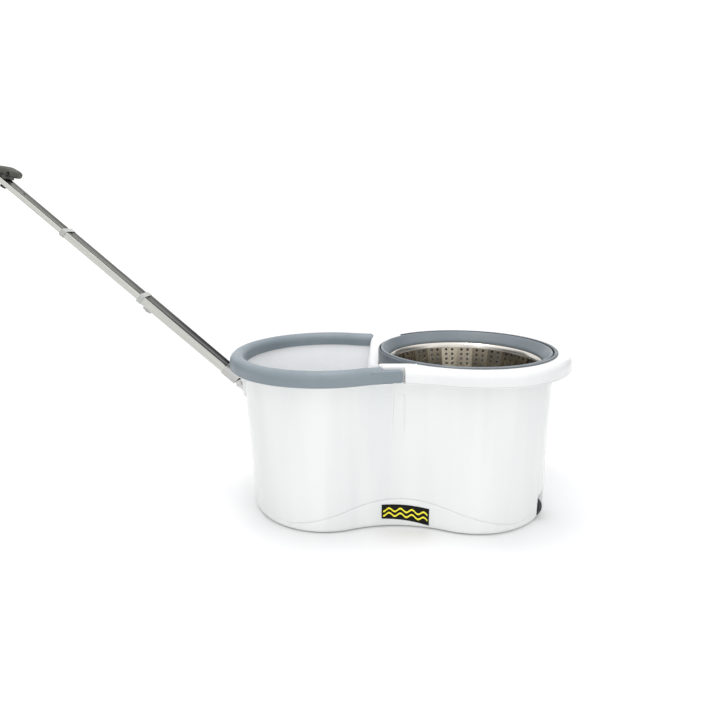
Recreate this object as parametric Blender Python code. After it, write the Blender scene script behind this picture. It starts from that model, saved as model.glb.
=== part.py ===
"""Twin-lobed spin mop bucket with a perforated spin basket, a carry handle lying round the wash bowl,
two tilt wheels and a telescopic pull handle. Metres, +Z up, the floor at z = 0, -Y is the front.
The origin is on the floor under the middle of the bucket."""

import math

import bmesh
import bpy
from mathutils import Vector

# ---------------------------------------------------------------- rim outline, seen from above
WASH_X = -0.1001
SPIN_X = 0.1001
RIM_WASH_R = 0.1330
RIM_SPIN_R = 0.1369
RIM_NECK_R = 0.1385
RIM_TOP_Z = 0.2237
RIM_UNDER_Z = 0.2055
RIM_ROUND = 0.0102

# ---------------------------------------------------------------- tub wall
TUB_TOP = dict(x1=-0.1004, x2=0.0988, r1=0.1154, r2=0.1156, neck=0.1638)
TUB_FOOT = dict(x1=-0.1001, x2=0.0992, r1=0.1051, r2=0.1121, neck=0.1687)
TUB_TOP_Z = 0.2052
WALL = 0.0025
FLANGE_Z = 0.2036
FLOOR_TOP_Z = 0.0045
FOOT_RING_Z = 0.0015
GAP = 0.0003

# ---------------------------------------------------------------- spinner
RING_X = 0.0961
RING_R = 0.1172
RING_TOP_Z = 0.2247
RING_LOW_Z = 0.2060
WELL_WALL_Z = 0.1965
WELL_R = 0.1208
COLLAR_R = 0.1232
COLLAR_FROM_X = 0.0157
BASKET_FLOOR_Z = 0.1150
SHAFT_R = 0.0040

# ---------------------------------------------------------------- saddle between the two bowls
STRIP_IN_Y = 0.0965
STRIP_OUT_Y = 0.1070
STRIP_X0 = -0.0272
SADDLE_LOW_Z = 0.1995
APRON_LOW_Z = 0.0900

# ---------------------------------------------------------------- carry handle
HANDLE_WIDTH = 0.0208
HANDLE_END_X = -0.0282
CHEEK_END_X = -0.0030
CHEEK_TOP_Z = 0.2207
CHEEK_IN_Y = 0.1073
CHEEK_ROUND = 0.0025
CARRY_PIVOT_X = -0.0085
CARRY_PIVOT_Z = 0.2130

# ---------------------------------------------------------------- tilt wheels
WHEEL_X = 0.1765
WHEEL_Y = 0.0620
WHEEL_Z = 0.0165
WHEEL_R = 0.0160
WHEEL_W = 0.0160
POCKET_R = 0.0190
POCKET_HALF = 0.0115

# ---------------------------------------------------------------- pull handle: s along it, n square to it
PULL_X = -0.2200
PULL_Z = 0.1780
PULL_ANGLE = math.radians(42.6)
OUTER_W, OUTER_H = 0.0260, 0.0122
MIDDLE_W, MIDDLE_H = 0.0234, 0.0096
INNER_W, INNER_H = 0.0210, 0.0072
SLEEVE_W, SLEEVE_H = 0.0286, 0.0148
OUTER_S = (0.0165, 0.1800)
MIDDLE_S = (0.1480, 0.3130)
INNER_S = (0.2820, 0.4330)

for old in list(bpy.data.objects):
    bpy.data.objects.remove(old, do_unlink=True)

parts = bpy.data.collections.new("spin_mop_bucket")
cutters = bpy.data.collections.new("cutters")
bpy.context.scene.collection.children.link(parts)
bpy.context.scene.collection.children.link(cutters)


# ---------------------------------------------------------------- materials
def material(name, color, metallic=0.0, roughness=0.5):
    mat = bpy.data.materials.new(name)
    mat.use_nodes = True
    shader = mat.node_tree.nodes["Principled BSDF"]
    shader.inputs["Base Color"].default_value = (*color, 1.0)
    shader.inputs["Metallic"].default_value = metallic
    shader.inputs["Roughness"].default_value = roughness
    return mat


WHITE = (0.86, 0.87, 0.86)
SLATE = (0.20, 0.235, 0.265)
DARK = (0.05, 0.055, 0.06)
STEEL = (0.62, 0.60, 0.57)
ALU = (0.70, 0.70, 0.68)


# ---------------------------------------------------------------- mesh helpers
def make(name, verts, faces, mat=None, origin=(0.0, 0.0, 0.0)):
    mesh = bpy.data.meshes.new(name)
    shift = Vector(origin)
    mesh.from_pydata([Vector(v) - shift for v in verts], [], faces)
    bm = bmesh.new()
    bm.from_mesh(mesh)
    bmesh.ops.remove_doubles(bm, verts=bm.verts, dist=1e-7)
    bmesh.ops.recalc_face_normals(bm, faces=bm.faces)
    bm.to_mesh(mesh)
    bm.free()
    obj = bpy.data.objects.new(name, mesh)
    obj.location = shift
    if mat is None:
        cutters.objects.link(obj)
        obj.hide_render = True
        obj.display_type = "WIRE"
    else:
        parts.objects.link(obj)
        mesh.materials.append(mat)
    return obj


def loft(name, loops, mat=None, origin=(0.0, 0.0, 0.0), ring=False):
    """Quads between loops of equal length; the two ends are capped, or joined when ring is set."""
    n = len(loops[0])
    verts = [p for loop in loops for p in loop]
    faces = []
    spans = len(loops) if ring else len(loops) - 1
    for i in range(spans):
        a = i * n
        b = ((i + 1) % len(loops)) * n
        for k in range(n):
            m = (k + 1) % n
            faces.append((a + k, a + m, b + m, b + k))
    if not ring:
        faces.append(tuple(range(n)))
        faces.append(tuple((len(loops) - 1) * n + k for k in range(n)))
    return make(name, verts, faces, mat, origin)


def turned(name, profile, mat=None, origin=(0.0, 0.0, 0.0), n=32, axis="Z", centre=(0.0, 0.0, 0.0)):
    """A profile of (radius, height) turned about an axis through centre. A profile that starts and ends
    on the axis gives a solid; one that never touches it is closed on itself."""
    solid = profile[0][0] == 0.0
    rows = profile[1:-1] if solid else profile
    c = Vector(centre)
    loops = []
    for r, h in rows:
        loop = []
        for k in range(n):
            a = 2 * math.pi * k / n
            u, v = r * math.cos(a), r * math.sin(a)
            local = {"Z": (u, v, h), "Y": (u, h, v), "X": (h, u, v)}[axis]
            loop.append(c + Vector(local))
        loops.append(loop)
    return loft(name, loops, mat, origin, ring=not solid)


def prism(name, outline_points, axis, low, high, mat=None, origin=(0.0, 0.0, 0.0)):
    """A flat outline pushed along an axis. For Y the outline is (x, z), for Z (x, y), for X (y, z)."""
    def at(p, h):
        return {"Y": (p[0], h, p[1]), "Z": (p[0], p[1], h), "X": (h, p[0], p[1])}[axis]
    ends = [[at(p, height) for p in outline_points] for height in (low, high)]
    return loft(name, ends, mat, origin)


def block(name, low, high, mat=None, origin=(0.0, 0.0, 0.0)):
    points = [(low[0], low[1]), (high[0], low[1]), (high[0], high[1]), (low[0], high[1])]
    return prism(name, points, "Z", low[2], high[2], mat, origin)


def rod(name, start, end, radius, mat=None, origin=(0.0, 0.0, 0.0), n=24):
    start, end = Vector(start), Vector(end)
    along = (end - start).normalized()
    side = along.orthogonal().normalized()
    other = along.cross(side)
    loops = []
    for p in (start, end):
        loop = []
        for k in range(n):
            a = 2 * math.pi * k / n
            loop.append(p + radius * (math.cos(a) * side + math.sin(a) * other))
        loops.append(loop)
    return loft(name, loops, mat, origin)


def combine(obj, other, operation):
    mod = obj.modifiers.new(other.name, "BOOLEAN")
    mod.object = other
    mod.operation = operation
    mod.solver = "EXACT"


def cut(obj, *tools):
    for tool in tools:
        combine(obj, tool, "DIFFERENCE")


def add(obj, *tools):
    for tool in tools:
        combine(obj, tool, "UNION")


# ---------------------------------------------------------------- twin-lobed outline
def twin(x1, x2, r1, r2, neck, grow=0.0, arc=24, hollow=8):
    """Two circles joined by two hollow neck arcs, counter-clockwise from the front of the neck."""
    span = x2 - x1
    d1, d2 = r1 + neck, r2 + neck
    nx = (d1 * d1 - d2 * d2 + span * span) / (2 * span)
    ny = math.sqrt(d1 * d1 - nx * nx)
    cx = x1 + nx
    r1, r2, neck = r1 + grow, r2 + grow, neck - grow
    a1 = math.atan2(ny, nx)
    a2 = math.atan2(ny, cx - x2)
    points = []

    def sweep(centre, radius, start, stop, count):
        for k in range(count):
            a = start + (stop - start) * k / count
            points.append((centre[0] + radius * math.cos(a), centre[1] + radius * math.sin(a)))

    sweep((x2, 0.0), r2, -a2, a2, arc)
    sweep((cx, ny), neck, a2 - math.pi, -(math.pi - a1), hollow)
    sweep((x1, 0.0), r1, a1, 2 * math.pi - a1, arc)
    sweep((cx, -ny), neck, math.pi - a1, math.pi - a2, hollow)
    return points


def rim_loop(z, grow=0.0):
    points = twin(WASH_X, SPIN_X, RIM_WASH_R, RIM_SPIN_R, RIM_NECK_R, grow)
    return [(x, y, z) for x, y in points]


def tub_values(z):
    t = z / TUB_TOP_Z
    return {key: TUB_FOOT[key] + (TUB_TOP[key] - TUB_FOOT[key]) * t for key in TUB_TOP}


def tub_loop(z, grow=0.0):
    return [(x, y, z) for x, y in twin(**tub_values(z), grow=grow)]


def neck_y(x, z, grow=0.0):
    """Half width of the tub at its waist."""
    v = tub_values(z)
    span = v["x2"] - v["x1"]
    d1, d2 = v["r1"] + v["neck"], v["r2"] + v["neck"]
    nx = (d1 * d1 - d2 * d2 + span * span) / (2 * span)
    ny = math.sqrt(d1 * d1 - nx * nx)
    return ny - math.sqrt((v["neck"] - grow) ** 2 - (x - v["x1"] - nx) ** 2)


def rim_y(x):
    """Half width of the rim at its waist."""
    span = SPIN_X - WASH_X
    d1, d2 = RIM_WASH_R + RIM_NECK_R, RIM_SPIN_R + RIM_NECK_R
    nx = (d1 * d1 - d2 * d2 + span * span) / (2 * span)
    ny = math.sqrt(d1 * d1 - nx * nx)
    return ny - math.sqrt(RIM_NECK_R ** 2 - (x - WASH_X - nx) ** 2)


# ---------------------------------------------------------------- tub
tub_mat = material("tub_white", WHITE, 0.0, 0.28)
tub = loft("bucket_tub", [
    tub_loop(FOOT_RING_Z, -0.0035),
    tub_loop(0.0028, -0.0012),
    tub_loop(0.0060),
    tub_loop(0.0700),
    tub_loop(0.1400),
    tub_loop(0.2022),
    rim_loop(FLANGE_Z, -0.0006),
    rim_loop(TUB_TOP_Z, -0.0006),
], tub_mat)
inside = loft("tub_inside", [
    tub_loop(FLOOR_TOP_Z, -0.0065),
    tub_loop(0.0080, -WALL),
    tub_loop(0.0900, -WALL),
    tub_loop(0.2150, -WALL),
])


def wheel_arch(radius, top_left_x, low_z):
    points = [(top_left_x, low_z), (WHEEL_X + 0.045, low_z), (WHEEL_X + 0.045, WHEEL_Z + radius)]
    for k in range(9):
        a = math.pi / 2 + math.pi / 2 * k / 8
        points.append((WHEEL_X + radius * math.cos(a), WHEEL_Z + radius * math.sin(a)))
    return points


sides = (("front", -1.0), ("rear", 1.0))
pockets = []
for side, sign in sides:
    low = min(sign * (WHEEL_Y - POCKET_HALF), sign * (WHEEL_Y + POCKET_HALF))
    high = max(sign * (WHEEL_Y - POCKET_HALF), sign * (WHEEL_Y + POCKET_HALF))
    house = prism(f"wheel_house_{side}",
                  wheel_arch(POCKET_R + WALL, WHEEL_X - POCKET_R - WALL, -0.010), "Y",
                  low - WALL, high + WALL)
    cut(inside, house)
    pocket = prism(f"wheel_pocket_{side}", wheel_arch(POCKET_R, WHEEL_X - POCKET_R, -0.012),
                   "Y", low, high)
    seat = rod(f"axle_seat_{side}", (WHEEL_X, low - 0.0013, WHEEL_Z),
               (WHEEL_X, high + 0.0013, WHEEL_Z), 0.0028)
    pockets += [pocket, seat]
cut(tub, inside)
cut(tub, loft("tub_underside", [tub_loop(-0.002, -0.008), tub_loop(0.0020, -0.008)]))
cut(tub, *pockets)

PLUG_Z = 0.0240
PLUG_WALL_Y = 0.1064
cut(tub, rod("drain_hole", (WASH_X, 0.090, PLUG_Z), (WASH_X, 0.120, PLUG_Z), 0.0085, n=32))
for side, sign in sides:
    y0, y1 = sorted((sign * 0.1069, sign * 0.1300))
    cut(tub, block(f"cheek_notch_{side}", (-0.0145, y0, 0.2000), (-0.0012, y1, 0.2100)))

# ---------------------------------------------------------------- drain plug on the rear wall
plug_mat = material("plug_rubber", (0.12, 0.13, 0.14), 0.0, 0.75)
plug = turned("drain_plug", [
    (0.0, 0.0995), (0.0074, 0.0995), (0.0082, 0.1010), (0.0082, PLUG_WALL_Y + 0.0004),
    (0.0125, PLUG_WALL_Y + 0.0009), (0.0125, PLUG_WALL_Y + 0.0028),
    (0.0112, PLUG_WALL_Y + 0.0036), (0.0, PLUG_WALL_Y + 0.0036),
], plug_mat, (WASH_X, PLUG_WALL_Y, PLUG_Z), 32, "Y", (WASH_X, 0.0, PLUG_Z))
add(plug, block("plug_tab", (WASH_X - 0.0070, PLUG_WALL_Y + 0.0020, PLUG_Z - 0.0018),
                (WASH_X + 0.0070, PLUG_WALL_Y + 0.0090, PLUG_Z + 0.0018)))

# ---------------------------------------------------------------- rubber feet under the floor
foot_mat = material("foot_rubber", DARK, 0.0, 0.8)
FEET = ((0.0, 0.0), (-0.165, -0.055), (-0.165, 0.055), (0.130, -0.085), (0.130, 0.085))
for number, (x, y) in enumerate(FEET, 1):
    turned(f"foot_{number}", [(0.0, 0.0), (0.0090, 0.0), (0.0100, 0.0006), (0.0100, 0.0017), (0.0, 0.0017)],
           foot_mat, (x, y, 0.0), 20, "Z", (x, y, 0.0))

# ---------------------------------------------------------------- deck over the spin side
deck_mat = material("deck_white", WHITE, 0.0, 0.22)


def lid_loops(grow, drop, low):
    loops = [rim_loop(low, grow)]
    for k in range(5):
        a = math.pi / 2 * k / 4
        inset = RIM_ROUND * (1 - math.cos(a))
        height = RIM_TOP_Z - RIM_ROUND * (1 - math.sin(a))
        loops.append(rim_loop(height - drop, grow - inset))
    return loops


deck = loft("rim_deck", lid_loops(0.0, 0.0, RIM_UNDER_Z), deck_mat)
cut(deck, loft("deck_hollow", lid_loops(-WALL, WALL, 0.1900)))
cut(deck, block("deck_wash_side", (-0.3000, -0.2, 0.15), (COLLAR_FROM_X, 0.2, 0.30)))
for side, sign in sides:
    y0, y1 = sorted((sign * STRIP_IN_Y, sign * STRIP_OUT_Y))
    strip = prism(f"saddle_strip_{side}", [
        (STRIP_X0, RIM_UNDER_Z),
        (0.0220, RIM_UNDER_Z),
        (0.0220, RIM_TOP_Z),
        (STRIP_X0 + 0.0024, RIM_TOP_Z),
        (STRIP_X0, RIM_TOP_Z - 0.0095),
    ], "Y", y0, y1)
    hip = []
    for k in range(5):
        x = 0.0005 + (0.0240 - 0.0005) * k / 4
        hip.append((x, sign * (rim_y(x) - 0.0001)))
    for x in (0.0240, 0.0005):
        hip.append((x, sign * 0.1040))
    lower_hip = prism(f"rim_end_{side}", hip, "Z", RIM_UNDER_Z, RIM_TOP_Z - RIM_ROUND)
    crown = []
    for k in range(6):
        a = math.pi / 2 * k / 5
        loop = []
        inset = RIM_ROUND * (1 - math.cos(a))
        height = RIM_TOP_Z - RIM_ROUND * (1 - math.sin(a))
        for i in range(5):
            x = 0.0005 + (0.0240 - 0.0005) * i / 4
            loop.append((x, sign * (rim_y(x) - 0.0001 - inset), height))
        for x in (0.0240, 0.0005):
            loop.append((x, sign * 0.1010, height))
        crown.append(loop)
    crown.insert(0, [(p[0], p[1], RIM_TOP_Z - RIM_ROUND - 0.0020) for p in crown[0]])
    upper_hip = loft(f"rim_crown_{side}", crown)
    add(deck, strip, lower_hip, upper_hip)

# the dished saddle and the apron that hangs from it between the bowls
saddle_rows = []
ROW_YS = [-0.0985, -0.0940, -0.0900, -0.0830, -0.0700, -0.0550, -0.0380, -0.0200, 0.0,
          0.0200, 0.0380, 0.0550, 0.0700, 0.0830, 0.0900, 0.0940, 0.0985]
for y in ROW_YS:
    t = min(abs(y) / STRIP_IN_Y, 1.0)
    top = SADDLE_LOW_Z + (RIM_TOP_Z - 0.0006 - SADDLE_LOW_Z) * t * t * (3 - 2 * t)
    left = STRIP_X0 + 0.0002 - 0.0130 * (1 - min(abs(y) / 0.0985, 1.0) ** 2)
    if abs(y) <= 0.0831:
        low = APRON_LOW_Z
    elif abs(y) <= 0.0901:
        low = 0.1750
    else:
        low = top - 0.0080
    bend = 0.0045
    row = [(left, y, low), (left, y, top - bend), (left + 0.3 * bend, y, top - 0.3 * bend),
           (left + bend, y, top), (0.0200, y, top), (0.0200, y, top - WALL), (left + bend, y, top - WALL),
           (left + WALL, y, top - bend), (left + WALL, y, low)]
    saddle_rows.append(row)
saddle = loft("saddle_plate", saddle_rows)
add(deck, saddle)
cut(deck, turned("well", [(0.0, 0.05), (WELL_R, 0.05), (WELL_R, 0.30), (0.0, 0.30)], None, n=72,
                 centre=(RING_X, 0.0, 0.0)))

# ---------------------------------------------------------------- fixed collar round the spinner
slate_mat = material("slate_plastic", SLATE, 0.0, 0.45)
COLLAR_STEPS = 66
COLLAR_TURN = math.acos((COLLAR_FROM_X + 0.0008 - RING_X) / COLLAR_R)
collar_angles = [2 * math.pi * (k + 0.5) / COLLAR_STEPS - math.pi for k in range(COLLAR_STEPS)]
collar_angles += [sign * (COLLAR_TURN + nudge) for sign in (-1.0, 1.0) for nudge in (-0.0004, 0.0004, 0.0012)]
collar_loops = []
for a in sorted(collar_angles):
    top = RIM_TOP_Z
    if abs(a) < COLLAR_TURN:
        section = ((0.1186, 0.2120), (0.1204, 0.2120), (0.1204, top + GAP), (COLLAR_R, top + GAP),
                   (COLLAR_R, top + 0.0009), (COLLAR_R - 0.0008, top + 0.0015), (0.1186, top + 0.0015))
    elif abs(a) < COLLAR_TURN + 0.0008:
        section = ((0.1186, 0.2120), (0.1204, 0.2120), (0.1204, top + GAP), (0.1204, top + 0.0005),
                   (0.1204, top + 0.0009), (0.1202, top + 0.0015), (0.1186, top + 0.0015))
    else:
        section = ((0.1186, WELL_WALL_Z), (0.1204, WELL_WALL_Z), (0.1204, 0.2180), (0.1204, 0.2195),
                   (0.1204, 0.2210), (0.1201, 0.2222), (0.1186, 0.2228))
    collar_loops.append([(RING_X + r * math.cos(a), r * math.sin(a), z) for r, z in section])
loft("spinner_collar", collar_loops, slate_mat, ring=True)

# ---------------------------------------------------------------- carry handle lying round the wash bowl
carry_mat = material("carry_slate", SLATE, 0.0, 0.42)
SECTION = [(0.0, RIM_UNDER_Z)]
for k in range(8):
    a = math.pi * k / 7
    SECTION.append((HANDLE_WIDTH / 2 * (1 - math.cos(a)), RIM_TOP_Z - HANDLE_WIDTH / 2 * (1 - math.sin(a))))
SECTION.append((HANDLE_WIDTH, RIM_UNDER_Z))
HOLLOW = [(WALL, RIM_UNDER_Z - 0.004)]
for k in range(5):
    a = math.pi * k / 4
    inner = HANDLE_WIDTH / 2 - WALL
    HOLLOW.append((HANDLE_WIDTH / 2 - inner * math.cos(a),
                   RIM_TOP_Z - HANDLE_WIDTH / 2 + inner * math.sin(a)))
HOLLOW.append((HANDLE_WIDTH - WALL, RIM_UNDER_Z - 0.004))


def wash_path(end_x, count_neck=5, count_arc=28):
    """Points and outward directions round the wash lobe, from the front of the neck to its rear."""
    span = SPIN_X - WASH_X
    d1, d2 = RIM_WASH_R + RIM_NECK_R, RIM_SPIN_R + RIM_NECK_R
    nx = (d1 * d1 - d2 * d2 + span * span) / (2 * span)
    ny = math.sqrt(d1 * d1 - nx * nx)
    a1 = math.atan2(ny, nx)
    path = []
    first = math.asin((end_x - WASH_X - nx) / RIM_NECK_R)
    last = -(math.pi / 2 - a1)
    for k in range(count_neck):
        a = first + (last - first) * k / count_neck
        out = Vector((-math.sin(a), -math.cos(a), 0.0))
        centre = Vector((WASH_X + nx, -ny, 0.0))
        path.append((centre - out * RIM_NECK_R, out))
    for k in range(count_arc + 1):
        a = -a1 - (2 * math.pi - 2 * a1) * k / count_arc
        out = Vector((math.cos(a), math.sin(a), 0.0))
        path.append((Vector((WASH_X, 0.0, 0.0)) + out * RIM_WASH_R, out))
    mirrored = []
    for point, out in reversed(path[:count_neck]):
        mirrored.append((Vector((point.x, -point.y, 0.0)), Vector((out.x, -out.y, 0.0))))
    return path + mirrored


def along_path(end_x, section):
    loops = []
    for point, out in wash_path(end_x):
        loops.append([point - out * d + Vector((0.0, 0.0, z)) for d, z in section])
    first = [Vector((end_x, p.y, p.z)) for p in loops[0]]
    final = [Vector((end_x, p.y, p.z)) for p in loops[-1]]
    return [first] + loops[1:-1] + [final]


carry_origin = (CARRY_PIVOT_X, 0.0, CARRY_PIVOT_Z)
carry = loft("carry_handle", along_path(HANDLE_END_X, SECTION), carry_mat, carry_origin)
cut(carry, loft("carry_hollow", along_path(HANDLE_END_X - 0.0180, HOLLOW)))
pin_mat = material("pin_steel", STEEL, 0.9, 0.3)
for side, sign in sides:
    plan = []
    for k in range(6):
        x = -0.0400 + (CHEEK_END_X + 0.0400) * k / 5
        plan.append((x, sign * (rim_y(x) - 0.0002)))
    plan.append((CHEEK_END_X, sign * CHEEK_IN_Y))
    plan.append((-0.0400, sign * CHEEK_IN_Y))
    cheek = prism(f"cheek_{side}", plan, "Z", RIM_UNDER_Z + 0.0001, CHEEK_TOP_Z)
    for level, up in ((CHEEK_TOP_Z, 1.0), (RIM_UNDER_Z + 0.0001, -1.0)):
        corner = [(CHEEK_END_X + 0.002, level - up * CHEEK_ROUND), (CHEEK_END_X + 0.002, level + up * 0.002),
                  (CHEEK_END_X - CHEEK_ROUND, level + up * 0.002)]
        for k in range(6):
            a = math.pi / 2 * k / 5
            corner.append((CHEEK_END_X - CHEEK_ROUND * (1 - math.sin(a)),
                           level - up * CHEEK_ROUND * (1 - math.cos(a))))
        y0, y1 = sorted((sign * 0.1000, sign * 0.1300))
        cut(cheek, prism("cheek_corner", corner, "Y", y0, y1))
    add(carry, cheek)
    hole_in, hole_out = sign * 0.1000, sign * 0.1120
    cut(carry, rod(f"cheek_hole_{side}", (CARRY_PIVOT_X, hole_in, CARRY_PIVOT_Z),
                   (CARRY_PIVOT_X, hole_out, CARRY_PIVOT_Z), 0.00305))
    cut(deck, rod(f"strip_hole_{side}", (CARRY_PIVOT_X, sign * 0.0990, CARRY_PIVOT_Z),
                  (CARRY_PIVOT_X, sign * 0.1100, CARRY_PIVOT_Z), 0.0033))
    rod(f"carry_pin_{side}", (CARRY_PIVOT_X, sign * 0.0993, CARRY_PIVOT_Z),
        (CARRY_PIVOT_X, sign * 0.1117, CARRY_PIVOT_Z), 0.0030, pin_mat,
        (CARRY_PIVOT_X, sign * 0.1050, CARRY_PIVOT_Z))

# ---------------------------------------------------------------- spin basket
steel_mat = material("basket_steel", STEEL, 1.0, 0.25)
spin_centre = (RING_X, 0.0, 0.0)
spin_origin = (RING_X, 0.0, BASKET_FLOOR_Z)
turned("basket_ring", [
    (RING_R, RING_LOW_Z), (RING_R, 0.2222), (0.1166, 0.2240), (0.1158, RING_TOP_Z), (0.1145, RING_TOP_Z),
    (0.1052, 0.2113), (0.1052, 0.2090), (0.1085, 0.2090), (0.1152, 0.2165), (0.1152, RING_LOW_Z),
], slate_mat, spin_origin, 60, "Z", spin_centre)
basket = turned("spin_basket", [
    (0.0165, 0.1150), (0.0830, 0.1150), (0.0850, 0.1170), (0.1030, 0.2050),
    (0.1075, 0.2072), (0.1075, 0.2087),
    (0.1040, 0.2087), (0.1020, 0.2058), (0.0842, 0.1178), (0.0824, 0.1160), (0.0165, 0.1160),
], steel_mat, spin_origin, 48, "Z", spin_centre)
for k in range(8):
    a = 2 * math.pi * (k + 0.5) / 8
    x, y = RING_X + 0.058 * math.cos(a), 0.058 * math.sin(a)
    cut(basket, rod(f"basket_drain_{k}", (x, y, 0.110), (x, y, 0.120), 0.0050, n=12))

hub_mat = material("hub_plastic", (0.32, 0.34, 0.36), 0.0, 0.5)
hub = turned("basket_hub", [
    (0.0065, 0.0688), (0.0125, 0.0688), (0.0125, 0.1050), (0.0160, 0.1070), (0.0160, 0.1163),
    (0.0300, 0.1163), (0.0300, 0.1190), (0.0290, 0.1200), (0.0185, 0.1200), (0.0175, 0.1290),
    (0.0120, 0.1290), (0.0120, 0.1230),
    (0.0043, 0.1230), (0.0043, 0.0900), (0.0065, 0.0900),
], hub_mat, spin_origin, 24, "Z", spin_centre)
for k in range(6):
    a = 2 * math.pi * k / 6
    corner = []
    for u, v in ((0.0095, -0.0022), (0.0200, -0.0022), (0.0200, 0.0022), (0.0095, 0.0022)):
        corner.append((RING_X + u * math.cos(a) - v * math.sin(a), u * math.sin(a) + v * math.cos(a)))
    cut(hub, prism(f"drive_slot_{k}", corner, "Z", 0.1245, 0.1320))
clamp = turned("hub_clamp", [
    (0.0164, 0.1110), (0.0300, 0.1110), (0.0300, 0.1147), (0.0164, 0.1147),
], hub_mat, spin_origin, 24, "Z", spin_centre)
for k in range(3):
    a = 2 * math.pi * (k + 0.5) / 3
    x, y = RING_X + 0.0238 * math.cos(a), 0.0238 * math.sin(a)
    drill = rod(f"hub_screw_hole_{k}", (x, y, 0.105), (x, y, 0.130), 0.0018, n=12)
    cut(hub, drill)
    cut(clamp, drill)
    cut(basket, drill)
    turned(f"hub_screw_{k + 1}", [
        (0.0, 0.1118), (0.0015, 0.1118), (0.0015, 0.1203), (0.0034, 0.1203),
        (0.0034, 0.1214), (0.0022, 0.1222), (0.0, 0.1222),
    ], pin_mat, (x, y, 0.1203), 14, "Z", (x, y, 0.0))

# ---------------------------------------------------------------- spindle the basket turns on
turned("spindle_shaft", [
    (0.0, 0.0140), (0.0034, 0.0140), (SHAFT_R, 0.0150), (SHAFT_R, 0.1200), (0.0030, 0.1215), (0.0, 0.1215),
], pin_mat, spin_origin, 24, "Z", spin_centre)
turned("spindle_post", [
    (0.0043, 0.0125), (0.0010, 0.0125), (0.0010, 0.0048), (0.0320, 0.0048), (0.0320, 0.0080),
    (0.0180, 0.0160),
    (0.0130, 0.0560), (0.0130, 0.0655), (0.0043, 0.0655),
], tub_mat, spin_origin, 32, "Z", spin_centre)
bush_mat = material("bush_brass", (0.70, 0.55, 0.30), 1.0, 0.35)
turned("spindle_bush", [(0.00405, 0.0720), (0.0062, 0.0720), (0.0062, 0.0896), (0.00405, 0.0896)],
       bush_mat, spin_origin, 20, "Z", spin_centre)
turned("thrust_washer", [(0.0043, 0.0658), (0.0115, 0.0658), (0.0115, 0.0685), (0.0043, 0.0685)],
       bush_mat, spin_origin, 20, "Z", spin_centre)

# ---------------------------------------------------------------- tilt wheels
wheel_mat = material("wheel_rubber", (0.06, 0.063, 0.068), 0.0, 0.6)
for side, sign in sides:
    y = sign * WHEEL_Y
    half = WHEEL_W / 2
    turned(f"wheel_{side}", [
        (0.00255, -half + 0.0015), (0.0110, -half + 0.0015), (0.0118, -half), (0.0152, -half),
        (WHEEL_R, -half + 0.0010), (WHEEL_R, half - 0.0010), (0.0152, half), (0.0118, half),
        (0.0110, half - 0.0015), (0.00255, half - 0.0015),
    ], wheel_mat, (WHEEL_X, y, WHEEL_Z), 26, "Y", (WHEEL_X, y, WHEEL_Z))
    turned(f"wheel_axle_{side}", [(0.0, -POCKET_HALF - 0.0010), (0.0025, -POCKET_HALF - 0.0010),
                                  (0.0025, POCKET_HALF + 0.0010), (0.0, POCKET_HALF + 0.0010)],
           pin_mat, (WHEEL_X, y, WHEEL_Z), 24, "Y", (WHEEL_X, y, WHEEL_Z))

# ---------------------------------------------------------------- plate on the front of the neck
plate_mat = material("plate_black", (0.02, 0.02, 0.02), 0.0, 0.4)
plate_rows = []
for k in range(9):
    t = k / 8
    x = -0.0260 + 0.0612 * t
    low_z = 0.0142 - 0.0076 * t + 0.0012 * math.sin(math.pi * t)
    high_z = 0.0343 - 0.0040 * t + 0.0012 * math.sin(math.pi * t)
    row = []
    for z, lift in ((low_z, GAP), (high_z, GAP), (high_z, 0.0013), (low_z, 0.0013)):
        row.append((x, -neck_y(x, z) - lift, z))
    plate_rows.append(row)
loft("front_plate", plate_rows, plate_mat)

# ---------------------------------------------------------------- pull handle
ALONG = Vector((-math.cos(PULL_ANGLE), 0.0, math.sin(PULL_ANGLE)))
ACROSS = Vector((math.sin(PULL_ANGLE), 0.0, math.cos(PULL_ANGLE)))
PULL = Vector((PULL_X, 0.0, PULL_Z))


def pole(s, n=0.0, y=0.0):
    return PULL + ALONG * s + ACROSS * n + Vector((0.0, y, 0.0))


def flat_oval(width, height, corner, steps=3):
    """Rounded rectangle outline in (y, n)."""
    points = []
    a0 = ((width / 2 - corner, height / 2 - corner), (-width / 2 + corner, height / 2 - corner),
          (-width / 2 + corner, -height / 2 + corner), (width / 2 - corner, -height / 2 + corner))
    for q, (cy, cn) in enumerate(a0):
        for k in range(steps + 1):
            a = math.pi / 2 * (q + k / steps)
            points.append((cy + corner * math.cos(a), cn + corner * math.sin(a)))
    return points


def bar(name, s0, s1, width, height, corner, mat=None, origin=(0.0, 0.0, 0.0)):
    loops = []
    for s in (s0, s1):
        loops.append([pole(s, n, y) for y, n in flat_oval(width, height, corner)])
    return loft(name, loops, mat, origin)


def tube(name, s0, s1, width, height, corner, wall, mat, origin):
    """A flat oval tube, open at both ends."""
    outer = flat_oval(width, height, corner)
    inner = flat_oval(width - 2 * wall, height - 2 * wall, max(corner - wall, 0.0004))
    loops = [[pole(s0, n, y) for y, n in outer], [pole(s1, n, y) for y, n in outer],
             [pole(s1, n, y) for y, n in inner], [pole(s0, n, y) for y, n in inner]]
    return loft(name, loops, mat, origin, ring=True)


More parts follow.
